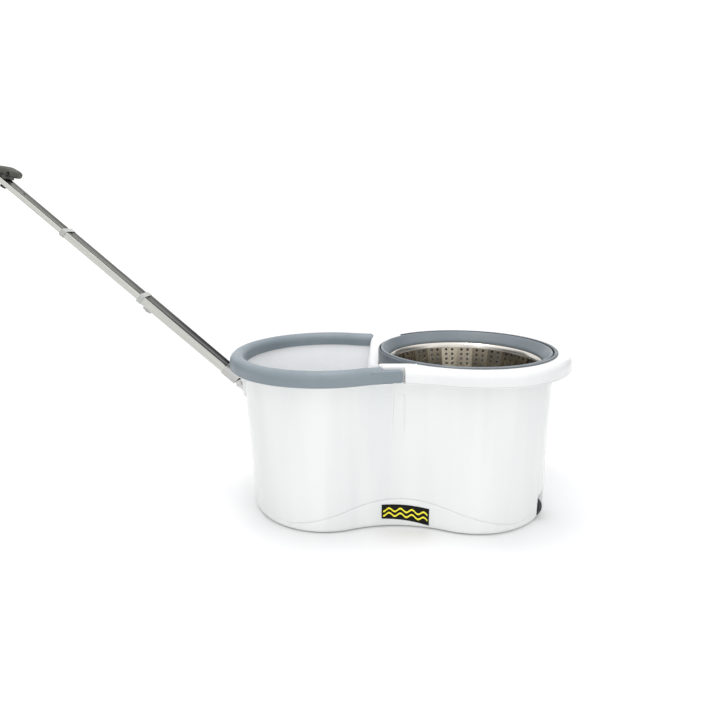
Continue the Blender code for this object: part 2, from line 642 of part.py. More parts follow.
# bracket screwed to the end wall, its plate following the wall
BRACKET_LOW_Z, BRACKET_HIGH_Z = 0.1640, 0.1920
bracket = loft("pull_bracket", [tub_loop(BRACKET_LOW_Z, 0.0033), tub_loop(BRACKET_HIGH_Z, 0.0033)],
               slate_mat)
cut(bracket, loft("bracket_back", [tub_loop(0.1400, GAP), tub_loop(0.2022, GAP)]))
cut(bracket, block("bracket_trim_right", (-0.2060, -0.3, 0.1), (0.4, 0.3, 0.3)))
for side, sign in sides:
    y0, y1 = sorted((sign * 0.0300, sign * 0.3))
    cut(bracket, block(f"bracket_trim_{side}", (-0.3, y0, 0.1), (0.1, y1, 0.3)))
for side, sign in sides:
    y0, y1 = sorted((sign * 0.0148, sign * 0.0178))
    ear = [(-0.2155, 0.1675), (-0.2155, 0.1885)]
    for k in range(9):
        a = math.pi / 2 + math.pi * k / 8
        ear.append((PULL_X + 0.0055 * math.cos(a), PULL_Z + 0.0055 * math.sin(a)))
    add(bracket, prism(f"bracket_ear_{side}", ear, "Y", y0, y1))
cut(bracket, block("bracket_window", (-0.2400, -0.0143, PULL_Z - 0.0070),
                   (-0.2050, 0.0143, PULL_Z + 0.0080)))
cut(bracket, rod("bracket_pin_hole", (PULL_X, -0.03, PULL_Z), (PULL_X, 0.03, PULL_Z), 0.00255))
for number, sign in enumerate((-1.0, 1.0), 1):
    v = tub_values(PULL_Z)
    a = math.pi - sign * math.asin(0.0240 / v["r1"])
    out = Vector((math.cos(a), math.sin(a), 0.0))
    wall_point = Vector((v["x1"], 0.0, PULL_Z)) + out * v["r1"]
    drill = rod(f"bracket_screw_hole_{number}", wall_point - out * 0.008, wall_point + out * 0.008,
                0.0018, n=12)
    cut(bracket, drill)
    cut(tub, drill)
    screw = rod(f"bracket_screw_{number}", wall_point - out * 0.0022, wall_point + out * 0.0045, 0.0015,
                pin_mat, wall_point, 12)
    add(screw, rod(f"bracket_screw_head_{number}", wall_point + out * 0.0038,
                   wall_point + out * 0.0054, 0.0034, n=16))

pin = rod("pull_pin", (PULL_X, -0.0190, PULL_Z), (PULL_X, 0.0190, PULL_Z), 0.0025, pin_mat, tuple(PULL))
for side, sign in sides:
    add(pin, rod(f"pull_pin_head_{side}", (PULL_X, sign * 0.0181, PULL_Z),
                 (PULL_X, sign * 0.0196, PULL_Z), 0.0038))

knuckle_mat = material("knuckle_plastic", (0.10, 0.11, 0.12), 0.0, 0.5)
knuckle = rod("pull_knuckle", (PULL_X, -0.0130, PULL_Z), (PULL_X, 0.0130, PULL_Z), 0.0048,
              knuckle_mat, tuple(PULL), 32)
add(knuckle, bar("knuckle_tongue", 0.0020, 0.0160, 0.0260, 0.0088, 0.0015))
cut(knuckle, rod("knuckle_bore", (PULL_X, -0.03, PULL_Z), (PULL_X, 0.03, PULL_Z), 0.00255))

alu_mat = material("tube_aluminium", ALU, 1.0, 0.3)
sleeve_mat = material("sleeve_grey", (0.42, 0.43, 0.43), 0.8, 0.4)
tube("pull_sleeve", 0.0060, 0.0300, SLEEVE_W, SLEEVE_H, 0.0030, 0.0010, sleeve_mat, tuple(PULL))
tube("pull_tube_outer", *OUTER_S, OUTER_W, OUTER_H, 0.0028, 0.0010, alu_mat, tuple(PULL))
tube("pull_tube_middle", *MIDDLE_S, MIDDLE_W, MIDDLE_H, 0.0022, 0.0009, alu_mat, tuple(pole(MIDDLE_S[0])))
inner_tube = tube("pull_tube_inner", *INNER_S, INNER_W, INNER_H, 0.0018, 0.0009, alu_mat,
                  tuple(pole(INNER_S[0])))
collar_mat = material("collar_plastic", (0.55, 0.56, 0.56), 0.0, 0.45)
tube("tube_collar_lower", 0.1740, 0.1822, OUTER_W + 0.0026, OUTER_H + 0.0026, 0.0035, 0.0010,
     collar_mat, tuple(pole(0.1740)))
tube("tube_collar_upper", 0.3070, 0.3150, MIDDLE_W + 0.0026, MIDDLE_H + 0.0026, 0.0030, 0.0010,
     collar_mat, tuple(pole(0.3070)))

# spring catch under the top of the outer tube
CATCH_S = 0.1640
catch_loops = []
for s, depth in ((0.1560, 0.0012), (0.1580, 0.0040), (0.1700, 0.0040)):
    high_n = -OUTER_H / 2 - GAP
    low_n = high_n - depth
    catch_loops.append([pole(s, high_n, -0.0060), pole(s, high_n, 0.0060), pole(s, low_n, 0.0060),
                        pole(s, low_n, -0.0060)])
catch = loft("catch_housing", catch_loops, collar_mat, tuple(pole(CATCH_S)))
cut(catch, rod("catch_bore", pole(CATCH_S, -OUTER_H / 2 - 0.0014),
               pole(CATCH_S, -OUTER_H / 2 - 0.0100), 0.0036))
rod("catch_button", pole(CATCH_S, -OUTER_H / 2 - 0.0031), pole(CATCH_S, -OUTER_H / 2 - 0.0060), 0.0032,
    knuckle_mat, tuple(pole(CATCH_S, -OUTER_H / 2 - 0.0031)))

# ---------------------------------------------------------------- grip on the end of the inner tube
grip_mat = material("grip_plastic", (0.13, 0.13, 0.12), 0.0, 0.5)
GRIP_LINE = ((-0.5015, 0.4660, 0.0042), (-0.5050, 0.4680, 0.0056), (-0.5120, 0.4712, 0.0062),
             (-0.5230, 0.4742, 0.0064), (-0.5360, 0.4752, 0.0072), (-0.5520, 0.4756, 0.0080),
             (-0.5700, 0.4744, 0.0082), (-0.5880, 0.4706, 0.0078), (-0.6000, 0.4664, 0.0066),
             (-0.6050, 0.4640, 0.0042))
GRIP_HALF_Y = 0.0125
grip_loops = []
for x, z, tall in GRIP_LINE:
    loop = []
    wide = GRIP_HALF_Y * (0.62 if tall < 0.0050 else 1.0)
    for k in range(16):
        a = 2 * math.pi * k / 16
        c, s = math.cos(a), math.sin(a)
        loop.append((x, wide * math.copysign(abs(c) ** 0.7, c), z + tall * math.copysign(abs(s) ** 0.7, s)))
    grip_loops.append(loop)
grip_origin = tuple(pole(INNER_S[1]))
grip = loft("pull_grip", grip_loops, grip_mat, grip_origin)
add(grip, bar("grip_socket", 0.4190, 0.4450, 0.0250, 0.0116, 0.0025))
wedge = [(-0.5108, 0.4510), (-0.5118, 0.4600), (-0.5158, 0.4600), (-0.5158, 0.4690), (-0.5230, 0.4740),
         (-0.5300, 0.4700)]
for along, across in ((0.4192, 0.0050), (0.4192, INNER_H / 2 + GAP), (0.3995, INNER_H / 2 + GAP)):
    corner = pole(along, across)
    wedge.append((corner.x, corner.z))
add(grip, prism("grip_wedge", wedge, "Y", -0.0095, 0.0095))
cut(grip, bar("grip_bore", 0.4000, INNER_S[1] + GAP, INNER_W + 0.0006, INNER_H + 0.0006, 0.0020))
hook = [(-0.5158, 0.4600), (-0.5118, 0.4600), (-0.5104, 0.4672)]
for k in range(9):
    a = -0.25 * math.pi + 1.5 * math.pi * k / 8
    hook.append((-0.5116 + 0.0024 * math.cos(a), 0.4704 + 0.0024 * math.sin(a)))
cut(grip, prism("hook_slot", hook, "Y", -0.03, 0.03))

# ---------------------------------------------------------------- release button under the inner tube
TRIGGER_S = 0.4125
trigger_origin = pole(TRIGGER_S, -INNER_H / 2)
cut(inner_tube, rod("trigger_bore", pole(TRIGGER_S, -0.0010), pole(TRIGGER_S, -0.0060), 0.0023, n=16))
trigger = rod("grip_trigger", pole(TRIGGER_S, -0.0056), pole(TRIGGER_S, -0.0086), 0.0038, knuckle_mat,
              tuple(trigger_origin), 24)
add(trigger, rod("trigger_stem", pole(TRIGGER_S, -0.0030), pole(TRIGGER_S, -0.0070), 0.0020, n=16))
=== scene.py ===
"""Looks of the spin mop bucket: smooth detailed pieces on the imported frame, in metres, +Z up, front at -Y."""

import math

import bmesh
import bpy
from mathutils import Matrix, Vector


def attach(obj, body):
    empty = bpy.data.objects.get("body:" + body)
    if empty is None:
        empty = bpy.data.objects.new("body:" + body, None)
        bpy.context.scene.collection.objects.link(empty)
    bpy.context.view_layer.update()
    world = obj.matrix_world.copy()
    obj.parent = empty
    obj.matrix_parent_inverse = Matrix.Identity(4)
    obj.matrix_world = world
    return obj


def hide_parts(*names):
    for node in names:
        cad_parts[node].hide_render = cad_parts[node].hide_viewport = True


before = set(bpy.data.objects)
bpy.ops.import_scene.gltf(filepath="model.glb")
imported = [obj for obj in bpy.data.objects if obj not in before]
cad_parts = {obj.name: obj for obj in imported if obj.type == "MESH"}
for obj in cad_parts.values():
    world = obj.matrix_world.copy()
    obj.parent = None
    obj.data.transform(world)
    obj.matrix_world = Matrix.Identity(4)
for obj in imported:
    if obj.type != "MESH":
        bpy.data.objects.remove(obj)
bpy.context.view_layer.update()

# ---------------------------------------------------------------- sizes, as in the CAD
WASH_X, SPIN_X = -0.1001, 0.1001
RIM_WASH_R, RIM_SPIN_R, RIM_NECK_R = 0.1330, 0.1369, 0.1385
RIM_TOP_Z, RIM_UNDER_Z, RIM_ROUND = 0.2237, 0.2055, 0.0102
TUB_TOP = dict(x1=-0.1004, x2=0.0988, r1=0.1154, r2=0.1156, neck=0.1638)
TUB_FOOT = dict(x1=-0.1001, x2=0.0992, r1=0.1051, r2=0.1121, neck=0.1687)
TUB_TOP_Z, WALL, FLANGE_Z = 0.2052, 0.0025, 0.2036
FLOOR_TOP_Z, FOOT_RING_Z, GAP = 0.0045, 0.0015, 0.0003
RING_X, RING_R, RING_TOP_Z, RING_LOW_Z = 0.0961, 0.1172, 0.2247, 0.2060
WELL_WALL_Z, WELL_R, COLLAR_R, COLLAR_FROM_X = 0.1965, 0.1208, 0.1232, 0.0157
STRIP_IN_Y, STRIP_OUT_Y, STRIP_X0 = 0.0965, 0.1070, -0.0272
SADDLE_LOW_Z, APRON_LOW_Z = 0.1995, 0.0900
HANDLE_WIDTH, HANDLE_END_X, CHEEK_END_X = 0.0208, -0.0282, -0.0030
CHEEK_TOP_Z, CHEEK_IN_Y, CHEEK_ROUND = 0.2207, 0.1073, 0.0025
CARRY_PIVOT_X, CARRY_PIVOT_Z = -0.0085, 0.2130
WHEEL_X, WHEEL_Y, WHEEL_Z, WHEEL_R, WHEEL_W = 0.1765, 0.0620, 0.0165, 0.0160, 0.0160
POCKET_R, POCKET_HALF = 0.0190, 0.0115
PLUG_Z, PLUG_WALL_Y = 0.0240, 0.1064
PULL = Vector((-0.2200, 0.0, 0.1780))
PULL_ANGLE = math.radians(42.6)
ALONG = Vector((-math.cos(PULL_ANGLE), 0.0, math.sin(PULL_ANGLE)))
ACROSS = Vector((math.sin(PULL_ANGLE), 0.0, math.cos(PULL_ANGLE)))
SIDES = (("front", -1.0), ("rear", 1.0))
SPIN_CENTRE = (RING_X, 0.0, 0.0)
COLLAR_IN_R, COLLAR_STEP_R, COLLAR_SEAT_Z = 0.1186, 0.1204, 0.2120
HIP_X, HIP_LENGTH, HIP_END_X = 0.0005, 0.0235, 0.0240
SADDLE_HALF = 0.0985
RECESS_X0, RECESS_X1, RECESS_EDGE, RECESS_DEPTH = -0.0125, 0.0025, 0.0011, 0.0016
FOOT_EDGE_Z, WAVE_LOW, WAVE_HIGH, ROWS_TOP_Z = 0.0062, 0.0012, 0.0011, 0.1700
CHEEK_FROM_X, CHEEK_LOW_Z = -0.0400, RIM_UNDER_Z + 0.0001
PLATE_X0, PLATE_X1, PLATE_LENGTH = -0.0260, 0.0352, 0.0612
# direction round the basket where the panels keep their painted highlight
PAINTED_HIGHLIGHT_ANGLE = 1.50


# ---------------------------------------------------------------- node material helpers
class Shader:
    """A Principled material with short calls for its nodes."""

    def __init__(self, name, metallic=0.0):
        self.mat = bpy.data.materials.new(name)
        self.mat.use_nodes = True
        self.nodes = self.mat.node_tree.nodes
        self.links = self.mat.node_tree.links
        self.out = self.nodes["Principled BSDF"]
        self.out.inputs["Metallic"].default_value = metallic
        self.coord = self.nodes.new("ShaderNodeTexCoord").outputs["Object"]
        self.height = None

    def plug(self, value, socket):
        if isinstance(value, bpy.types.NodeSocket):
            self.links.new(value, socket)
        else:
            socket.default_value = value

    def stretched(self, scale, rotation=(0.0, 0.0, 0.0)):
        turned_node = self.nodes.new("ShaderNodeMapping")
        turned_node.inputs["Rotation"].default_value = rotation
        self.links.new(self.coord, turned_node.inputs["Vector"])
        sized = self.nodes.new("ShaderNodeMapping")
        sized.inputs["Scale"].default_value = scale
        self.links.new(turned_node.outputs["Vector"], sized.inputs["Vector"])
        return sized.outputs["Vector"]

    def noise(self, scale, detail=3.0, rough=0.5, vector=None):
        node = self.nodes.new("ShaderNodeTexNoise")
        node.inputs["Scale"].default_value = scale
        node.inputs["Detail"].default_value = detail
        node.inputs["Roughness"].default_value = rough
        self.links.new(self.coord if vector is None else vector, node.inputs["Vector"])
        return node.outputs["Fac"]

    def cells(self, scale):
        node = self.nodes.new("ShaderNodeTexVoronoi")
        node.inputs["Scale"].default_value = scale
        self.links.new(self.coord, node.inputs["Vector"])
        return node.outputs["Distance"]

    def spread(self, value, low, high, new_low, new_high):
        node = self.nodes.new("ShaderNodeMapRange")
        node.inputs["From Min"].default_value = low
        node.inputs["From Max"].default_value = high
        node.inputs["To Min"].default_value = new_low
        node.inputs["To Max"].default_value = new_high
        self.links.new(value, node.inputs["Value"])
        return node.outputs["Result"]

    def math(self, operation, a, b=0.0):
        node = self.nodes.new("ShaderNodeMath")
        node.operation = operation
        self.plug(a, node.inputs[0])
        self.plug(b, node.inputs[1])
        return node.outputs["Value"]

    def mix(self, factor, a, b):
        node = self.nodes.new("ShaderNodeMix")
        node.data_type = "RGBA"
        self.links.new(factor, node.inputs["Factor"])
        self.plug(a if isinstance(a, bpy.types.NodeSocket) else (*a, 1.0), node.inputs[6])
        self.plug(b if isinstance(b, bpy.types.NodeSocket) else (*b, 1.0), node.inputs[7])
        return node.outputs[2]

    def axis(self, letter):
        node = self.nodes.new("ShaderNodeSeparateXYZ")
        self.links.new(self.coord, node.inputs["Vector"])
        return node.outputs[letter]

    def bump(self, height, distance, strength=1.0):
        node = self.nodes.new("ShaderNodeBump")
        node.inputs["Strength"].default_value = strength
        node.inputs["Distance"].default_value = distance
        self.links.new(height, node.inputs["Height"])
        if self.height is not None:
            self.links.new(self.height, node.inputs["Normal"])
        self.height = node.outputs["Normal"]

    def done(self, color, rough):
        self.plug(color, self.out.inputs["Base Color"])
        self.plug(rough, self.out.inputs["Roughness"])
        if self.height is not None:
            self.links.new(self.height, self.out.inputs["Normal"])
        return self.mat


def white_plastic(name, rough, dark, light):
    """Glossy moulded white with a soft upright banding of painted reflection, a slight ripple and dust low
    down.
    """
    m = Shader(name)
    m.out.inputs["IOR"].default_value = 1.36
    # painted reflection: soft upright banding from stretched noise, fixed on the surface
    painted_reflection_bands = m.spread(m.noise(1.0, 2.0, 0.5, m.stretched((24.0, 24.0, 1.6))), 0.36, 0.64, 0.0, 1.0)
    reflection_banded_color = m.mix(painted_reflection_bands, dark, light)
    low = m.spread(m.axis("Z"), 0.0, 0.03, 1.0, 0.0)
    dust = m.math("MULTIPLY", low, m.spread(m.noise(120.0, 5.0, 0.65), 0.45, 0.75, 0.0, 0.22))
    color = m.mix(dust, reflection_banded_color, (0.68, 0.67, 0.64))
    m.bump(m.noise(11.0, 2.0), 0.0006, 0.12)
    m.bump(m.noise(700.0, 2.0), 0.00002, 0.4)
    return m.done(color, m.spread(m.noise(45.0, 4.0), 0.3, 0.7, rough - 0.03, rough + 0.06))


def satin_plastic(name, dark, light, rough, grain=1400.0, depth=0.00008):
    """Fine-grained satin plastic with slight shade changes and lighter rubbed specks."""
    m = Shader(name)
    base = m.mix(m.spread(m.noise(18.0, 4.0), 0.3, 0.7, 0.0, 1.0), dark, light)
    rub = m.spread(m.noise(160.0, 6.0, 0.7), 0.62, 0.82, 0.0, 0.35)
    paler = tuple(min(1.0, c * 1.5 + 0.03) for c in light)
    m.bump(m.cells(grain), depth, 0.6)
    m.bump(m.noise(grain * 0.35, 3.0), depth * 1.5, 0.4)
    return m.done(m.mix(rub, base, paler), m.spread(m.noise(60.0, 4.0), 0.3, 0.7, rough - 0.06, rough + 0.08))


def drawn_metal(name, dark, light, rough, rotation, scale, painted_shade=0.0):
    """Metal with fine lines along one direction; the last argument is how much painted shade darkens it near
    the pivot.
    """
    m = Shader(name, metallic=1.0)
    lines = m.noise(1.0, 1.5, 0.4, m.stretched(scale, rotation))
    cloud = m.noise(25.0, 4.0)
    color = m.mix(m.spread(lines, 0.3, 0.7, 0.0, 1.0), dark, light)
    # painted shade: darker toward the pivot end of the pull handle
    if painted_shade:
        color = m.mix(m.spread(m.axis("X"), -0.372, -0.280, 0.0, painted_shade), color, (0.006, 0.007, 0.010))
    m.bump(lines, 0.00006, 0.10)
    wobble = m.math("ADD", m.spread(lines, 0.3, 0.7, rough - 0.05, rough + 0.07),
                    m.spread(cloud, 0.3, 0.7, -0.03, 0.04))
    return m.done(color, wobble)


def turned_steel(name, dark, light, panels=0):
    """Polished sheet steel with fine lines running round the basket axis.

    With panels given, each panel gets a painted reflection: darker by chance, and darker turned away from the
    painted highlight angle.
    """
    m = Shader(name, metallic=1.0)
    away = m.math("SUBTRACT", m.axis("X"), RING_X)
    angle = m.math("ARCTAN2", m.axis("Y"), away)
    radius = m.math("SQRT", m.math("ADD", m.math("MULTIPLY", away, away),
                                   m.math("MULTIPLY", m.axis("Y"), m.axis("Y"))))
    join = m.nodes.new("ShaderNodeCombineXYZ")
    m.links.new(m.math("MULTIPLY", angle, 1.4), join.inputs["X"])
    m.links.new(m.math("MULTIPLY", radius, 1500.0), join.inputs["Y"])
    m.links.new(m.math("MULTIPLY", m.axis("Z"), 1500.0), join.inputs["Z"])
    lines = m.noise(1.0, 3.0, 0.55, join.outputs["Vector"])
    color = m.mix(m.spread(lines, 0.3, 0.7, 0.0, 1.0), dark, light)
    # painted reflections on the panels: darker by chance, and darker turned away from the painted highlight
    if panels:
        share = m.math("MULTIPLY", angle, panels / (2 * math.pi))
        whole = m.math("ADD", m.math("FLOOR", share), 0.5)
        random = m.nodes.new("ShaderNodeTexWhiteNoise")
        random.noise_dimensions = "1D"
        m.links.new(whole, random.inputs["W"])
        painted_reflection_tint = m.spread(random.outputs["Value"], 0.0, 1.0, 0.0, 0.45)
        color = m.mix(painted_reflection_tint, color, (0.16, 0.125, 0.085))
        facing = m.math("MULTIPLY", whole, 2 * math.pi / panels)
        turned_away = m.math("ABSOLUTE", m.math("SUBTRACT", facing, PAINTED_HIGHLIGHT_ANGLE))
        color = m.mix(m.spread(turned_away, 0.14, 0.34, 0.0, 0.68), color, (0.085, 0.066, 0.042))
    m.bump(lines, 0.00003, 0.3)
    m.bump(m.noise(28.0, 2.0), 0.0005, 0.10)
    return m.done(color, m.spread(lines, 0.3, 0.7, 0.17, 0.27))


def rubber(name, dark, light):
    m = Shader(name)
    color = m.mix(m.spread(m.noise(90.0, 5.0), 0.35, 0.7, 0.0, 1.0), dark, light)
    dusty = m.mix(m.spread(m.noise(40.0, 6.0, 0.7), 0.55, 0.8, 0.0, 0.3), color, (0.22, 0.21, 0.19))
    m.bump(m.noise(1600.0, 3.0), 0.00015, 0.6)
    return m.done(dusty, m.spread(m.noise(120.0, 4.0), 0.3, 0.7, 0.6, 0.82))


mat_tub = white_plastic("tub_white_look", 0.14, (0.752, 0.770, 0.766), (0.815, 0.828, 0.818))
mat_deck = white_plastic("deck_white_look", 0.14, (0.765, 0.773, 0.772), (0.798, 0.805, 0.803))
# a brighter copy of the tub white for the tub's inner faces: painted light
mat_bowl_painted_light = white_plastic("bowl_painted_light_look", 0.22, (0.90, 0.915, 0.93), (0.93, 0.94, 0.95))
mat_slate = satin_plastic("slate_look", (0.085, 0.104, 0.120), (0.112, 0.134, 0.152), 0.38)
mat_carry = satin_plastic("carry_slate_look", (0.190, 0.230, 0.258), (0.232, 0.274, 0.302), 0.42)
mat_ring = satin_plastic("ring_slate_look", (0.160, 0.192, 0.215), (0.196, 0.229, 0.252), 0.38)
mat_hub = satin_plastic("hub_look", (0.26, 0.28, 0.30), (0.32, 0.34, 0.36), 0.48)
mat_black = satin_plastic("knuckle_look", (0.012, 0.013, 0.015), (0.024, 0.025, 0.028), 0.50)
mat_grip = satin_plastic("grip_look", (0.058, 0.058, 0.047), (0.088, 0.088, 0.073), 0.50, 900.0, 0.00012)
mat_collar = satin_plastic("tube_collar_look", (0.38, 0.39, 0.37), (0.46, 0.47, 0.45), 0.35)
mat_plate = satin_plastic("plate_look", (0.003, 0.003, 0.003), (0.007, 0.007, 0.007), 0.42)
mat_plate.node_tree.nodes["Principled BSDF"].inputs["Specular IOR Level"].default_value = 0.15
mat_yellow = satin_plastic("print_yellow_look", (0.86, 0.76, 0.02), (0.92, 0.84, 0.05), 0.45)
mat_steel = turned_steel("basket_steel_look", (0.56, 0.53, 0.48), (0.70, 0.67, 0.62))
# panelled basket wall with painted reflections
mat_panels_painted_reflection = turned_steel("basket_panel_painted_reflection_look", (0.52, 0.47, 0.37), (0.62, 0.57, 0.47), 26)
mat_pin = drawn_metal("pin_steel_look", (0.50, 0.50, 0.49), (0.66, 0.65, 0.63), 0.28,
                      (0, 0, 0), (300, 20, 300))
mat_brass = drawn_metal("brass_look", (0.58, 0.43, 0.20), (0.72, 0.56, 0.30), 0.30, (0, 0, 0), (60, 60, 900))
mat_alu = drawn_metal("tube_aluminium_look", (0.50, 0.50, 0.47), (0.60, 0.60, 0.56), 0.24,
                      (0, -PULL_ANGLE, 0), (4, 240, 240))
# upper tube faces: a darker copy of the tube metal as painted dark reflection, with painted shade toward the
# pivot
mat_painted_dark_top = drawn_metal("tube_painted_dark_top_look", (0.060, 0.059, 0.052), (0.125, 0.123, 0.108), 0.30,
                          (0, -PULL_ANGLE, 0), (4, 240, 240), 0.9)
mat_sleeve = drawn_metal("sleeve_look", (0.42, 0.42, 0.41), (0.56, 0.56, 0.55), 0.36,
                         (0, -PULL_ANGLE, 0), (20, 800, 800))
mat_rubber = rubber("wheel_rubber_look", (0.028, 0.029, 0.031), (0.050, 0.051, 0.053))
mat_plug = rubber("plug_rubber_look", (0.075, 0.082, 0.090), (0.105, 0.115, 0.122))
mat_foot = rubber("foot_rubber_look", (0.020, 0.021, 0.022), (0.036, 0.037, 0.039))


# ---------------------------------------------------------------- mesh helpers
def make(name, verts, faces):
    """A mesh object with doubled points merged and its faces turned outward."""
    mesh = bpy.data.meshes.new(name)
    mesh.from_pydata([tuple(v) for v in verts], [], faces)
    bm = bmesh.new()
    bm.from_mesh(mesh)
    bmesh.ops.remove_doubles(bm, verts=bm.verts, dist=1e-7)
    bmesh.ops.recalc_face_normals(bm, faces=bm.faces)
    bm.to_mesh(mesh)
    bm.free()
    obj = bpy.data.objects.new(name, mesh)
    bpy.context.scene.collection.objects.link(obj)
    return obj


def loft(name, loops, ring=False, caps=True):
    """Skin over loops of equal length, closed by end caps or, as a ring, back onto the first loop."""
    n = len(loops[0])
    verts = [p for loop in loops for p in loop]
    faces = []
    for i in range(len(loops) if ring else len(loops) - 1):
        a, b = i * n, ((i + 1) % len(loops)) * n
        for k in range(n):
            m = (k + 1) % n
            faces.append((a + k, a + m, b + m, b + k))
    if caps and not ring:
        faces.append(tuple(range(n)))
        faces.append(tuple((len(loops) - 1) * n + k for k in range(n)))
    return make(name, verts, faces)


def turned(name, profile, n=128, axis="Z", centre=(0.0, 0.0, 0.0)):
    """Body of revolution of (radius, height) points; solid if the profile starts on the axis."""
    solid = profile[0][0] == 0.0
    rows = profile[1:-1] if solid else profile
    c = Vector(centre)
    loops = []
    for r, h in rows:
        loop = []
        for k in range(n):
            a = 2 * math.pi * k / n
            u, v = r * math.cos(a), r * math.sin(a)
            loop.append(c + Vector({"Z": (u, v, h), "Y": (u, h, v)}[axis]))
        loops.append(loop)
    return loft(name, loops, ring=not solid)


def prism(name, points, axis, low, high):
    def at(p, h):
        return {"Y": (p[0], h, p[1]), "Z": (p[0], p[1], h), "X": (h, p[0], p[1])}[axis]
    return loft(name, [[at(p, h) for p in points] for h in (low, high)])


def block(name, low, high):
    points = [(low[0], low[1]), (high[0], low[1]), (high[0], high[1]), (low[0], high[1])]
    return prism(name, points, "Z", low[2], high[2])


def rod(name, start, end, radius, n=48, soft=0.0):
    start, end = Vector(start), Vector(end)
    along = (end - start).normalized()
    side = along.orthogonal().normalized()
    other = along.cross(side)
    stops = [(start, radius - soft), (start + along * soft, radius), (end - along * soft, radius),
             (end, radius - soft)] if soft else [(start, radius), (end, radius)]
    loops = []
    for p, r in stops:
        loop = []
        for k in range(n):
            a = 2 * math.pi * k / n
            loop.append(p + r * (math.cos(a) * side + math.sin(a) * other))
        loops.append(loop)
    return loft(name, loops)


def settle(obj):
    """Applies obj's modifiers to its mesh."""
    bpy.context.view_layer.update()
    graph = bpy.context.evaluated_depsgraph_get()
    mesh = bpy.data.meshes.new_from_object(obj.evaluated_get(graph))
    obj.modifiers.clear()
    obj.data = mesh


def combine(obj, tools, operation):
    for tool in tools:
        mod = obj.modifiers.new("join", "BOOLEAN")
        mod.object = tool
        mod.operation = operation
        mod.solver = "EXACT"
        settle(obj)
        bpy.data.objects.remove(tool, do_unlink=True)


def cut(obj, *tools):
    combine(obj, tools, "DIFFERENCE")


def add(obj, *tools):
    combine(obj, tools, "UNION")


def soften(obj, width, segments=2, angle=35.0):
    mod = obj.modifiers.new("soften", "BEVEL")
    mod.width = width
    mod.segments = segments
    mod.limit_method = "ANGLE"
    mod.angle_limit = math.radians(angle)
    settle(obj)


def show(obj, mat, body, nodes=(), angle=32.0):
    obj.data.materials.clear()
    obj.data.materials.append(mat)
    obj.data.shade_smooth()
    obj.data.set_sharp_from_angle(angle=math.radians(angle))
    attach(obj, body)
    if nodes:
        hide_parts(*nodes)
    return obj


def smooth(t):
    t = min(max(t, 0.0), 1.0)
    return t * t * (3 - 2 * t)


# ---------------------------------------------------------------- outline
def neck_centre(x1, x2, r1, r2, neck):
    """Centre of the hollow arc that joins the two round lobes, measured from the middle of the first."""
    span = x2 - x1
    d1, d2 = r1 + neck, r2 + neck
    nx = (d1 * d1 - d2 * d2 + span * span) / (2 * span)
    return nx, math.sqrt(d1 * d1 - nx * nx)


def twin(x1, x2, r1, r2, neck, grow=0.0, arc=120, hollow=100):
    """Outline of two lobes joined by hollow arcs, grown outward by grow."""
    nx, ny = neck_centre(x1, x2, r1, r2, neck)
    cx = x1 + nx
    r1, r2, neck = r1 + grow, r2 + grow, neck - grow
    a1, a2 = math.atan2(ny, nx), math.atan2(ny, cx - x2)
    points = []

    def sweep(centre, radius, start, stop, count):
        for k in range(count):
            a = start + (stop - start) * k / count
            points.append((centre[0] + radius * math.cos(a), centre[1] + radius * math.sin(a)))

    sweep((x2, 0.0), r2, -a2, a2, arc)
    sweep((cx, ny), neck, a2 - math.pi, -(math.pi - a1), hollow)
    sweep((x1, 0.0), r1, a1, 2 * math.pi - a1, arc)
    sweep((cx, -ny), neck, math.pi - a1, math.pi - a2, hollow)
    return points


def rim_loop(z, grow=0.0):
    return [(x, y, z) for x, y in twin(WASH_X, SPIN_X, RIM_WASH_R, RIM_SPIN_R, RIM_NECK_R, grow)]


def tub_values(z):
    t = z / TUB_TOP_Z
    return {key: TUB_FOOT[key] + (TUB_TOP[key] - TUB_FOOT[key]) * t for key in TUB_TOP}


def tub_loop(z, grow=0.0):
    return [(x, y, z) for x, y in twin(**tub_values(z), grow=grow)]


def waist(x, x1, x2, r1, r2, neck):
    """Half width of the outline at x, on one of its hollow arcs."""
    nx, ny = neck_centre(x1, x2, r1, r2, neck)
    return ny - math.sqrt(neck ** 2 - (x - x1 - nx) ** 2)


def rim_y(x):
    return waist(x, WASH_X, SPIN_X, RIM_WASH_R, RIM_SPIN_R, RIM_NECK_R)


def neck_y(x, z, grow=0.0):
    v = tub_values(z)
    v["neck"] -= grow
    v["r1"] += grow
    v["r2"] += grow
    return waist(x, **v)


# ---------------------------------------------------------------- tub with its wave line and waist recess
def wave_z(x):
    if abs(x) > 0.17:
        return 0.010
    return 0.010 + 0.032 * math.cos(math.pi * x / 0.34) ** 2


outline_steps = {}


def point_at(k, v, grow):
    """Point k of the outline for these values; outlines are kept, since rows share many heights."""
    key = (round(v["r1"], 6), round(grow, 6))
    if key not in outline_steps:
        outline_steps[key] = twin(**v, grow=grow)
    return outline_steps[key][k]


def fade_in(x):
    """The wave line dies away towards the two ends of the tub."""
    return smooth((0.172 - abs(x)) / 0.040)


def tub_row(height, proud, on_wave=False):
    """One row of the outer wall; height gives z from x, so rows can follow the wave line."""
    base = [p[0] for p in twin(**tub_values(0.1))]
    heights = [height(x) for x in base]
    row = []
    for k, z in enumerate(heights):
        v = tub_values(z)
        share = fade_in(base[k]) if on_wave else 1.0
        x, y = point_at(k, v, proud * share)
        pressed = smooth((x - RECESS_X0) / RECESS_EDGE) * smooth((RECESS_X1 - x) / RECESS_EDGE)
        pressed *= smooth((0.1874 - z) / 0.0018) * smooth((z - 0.1050) / 0.0500)
        y -= math.copysign(RECESS_DEPTH * pressed, y)
        row.append((x, y, z))
    return row


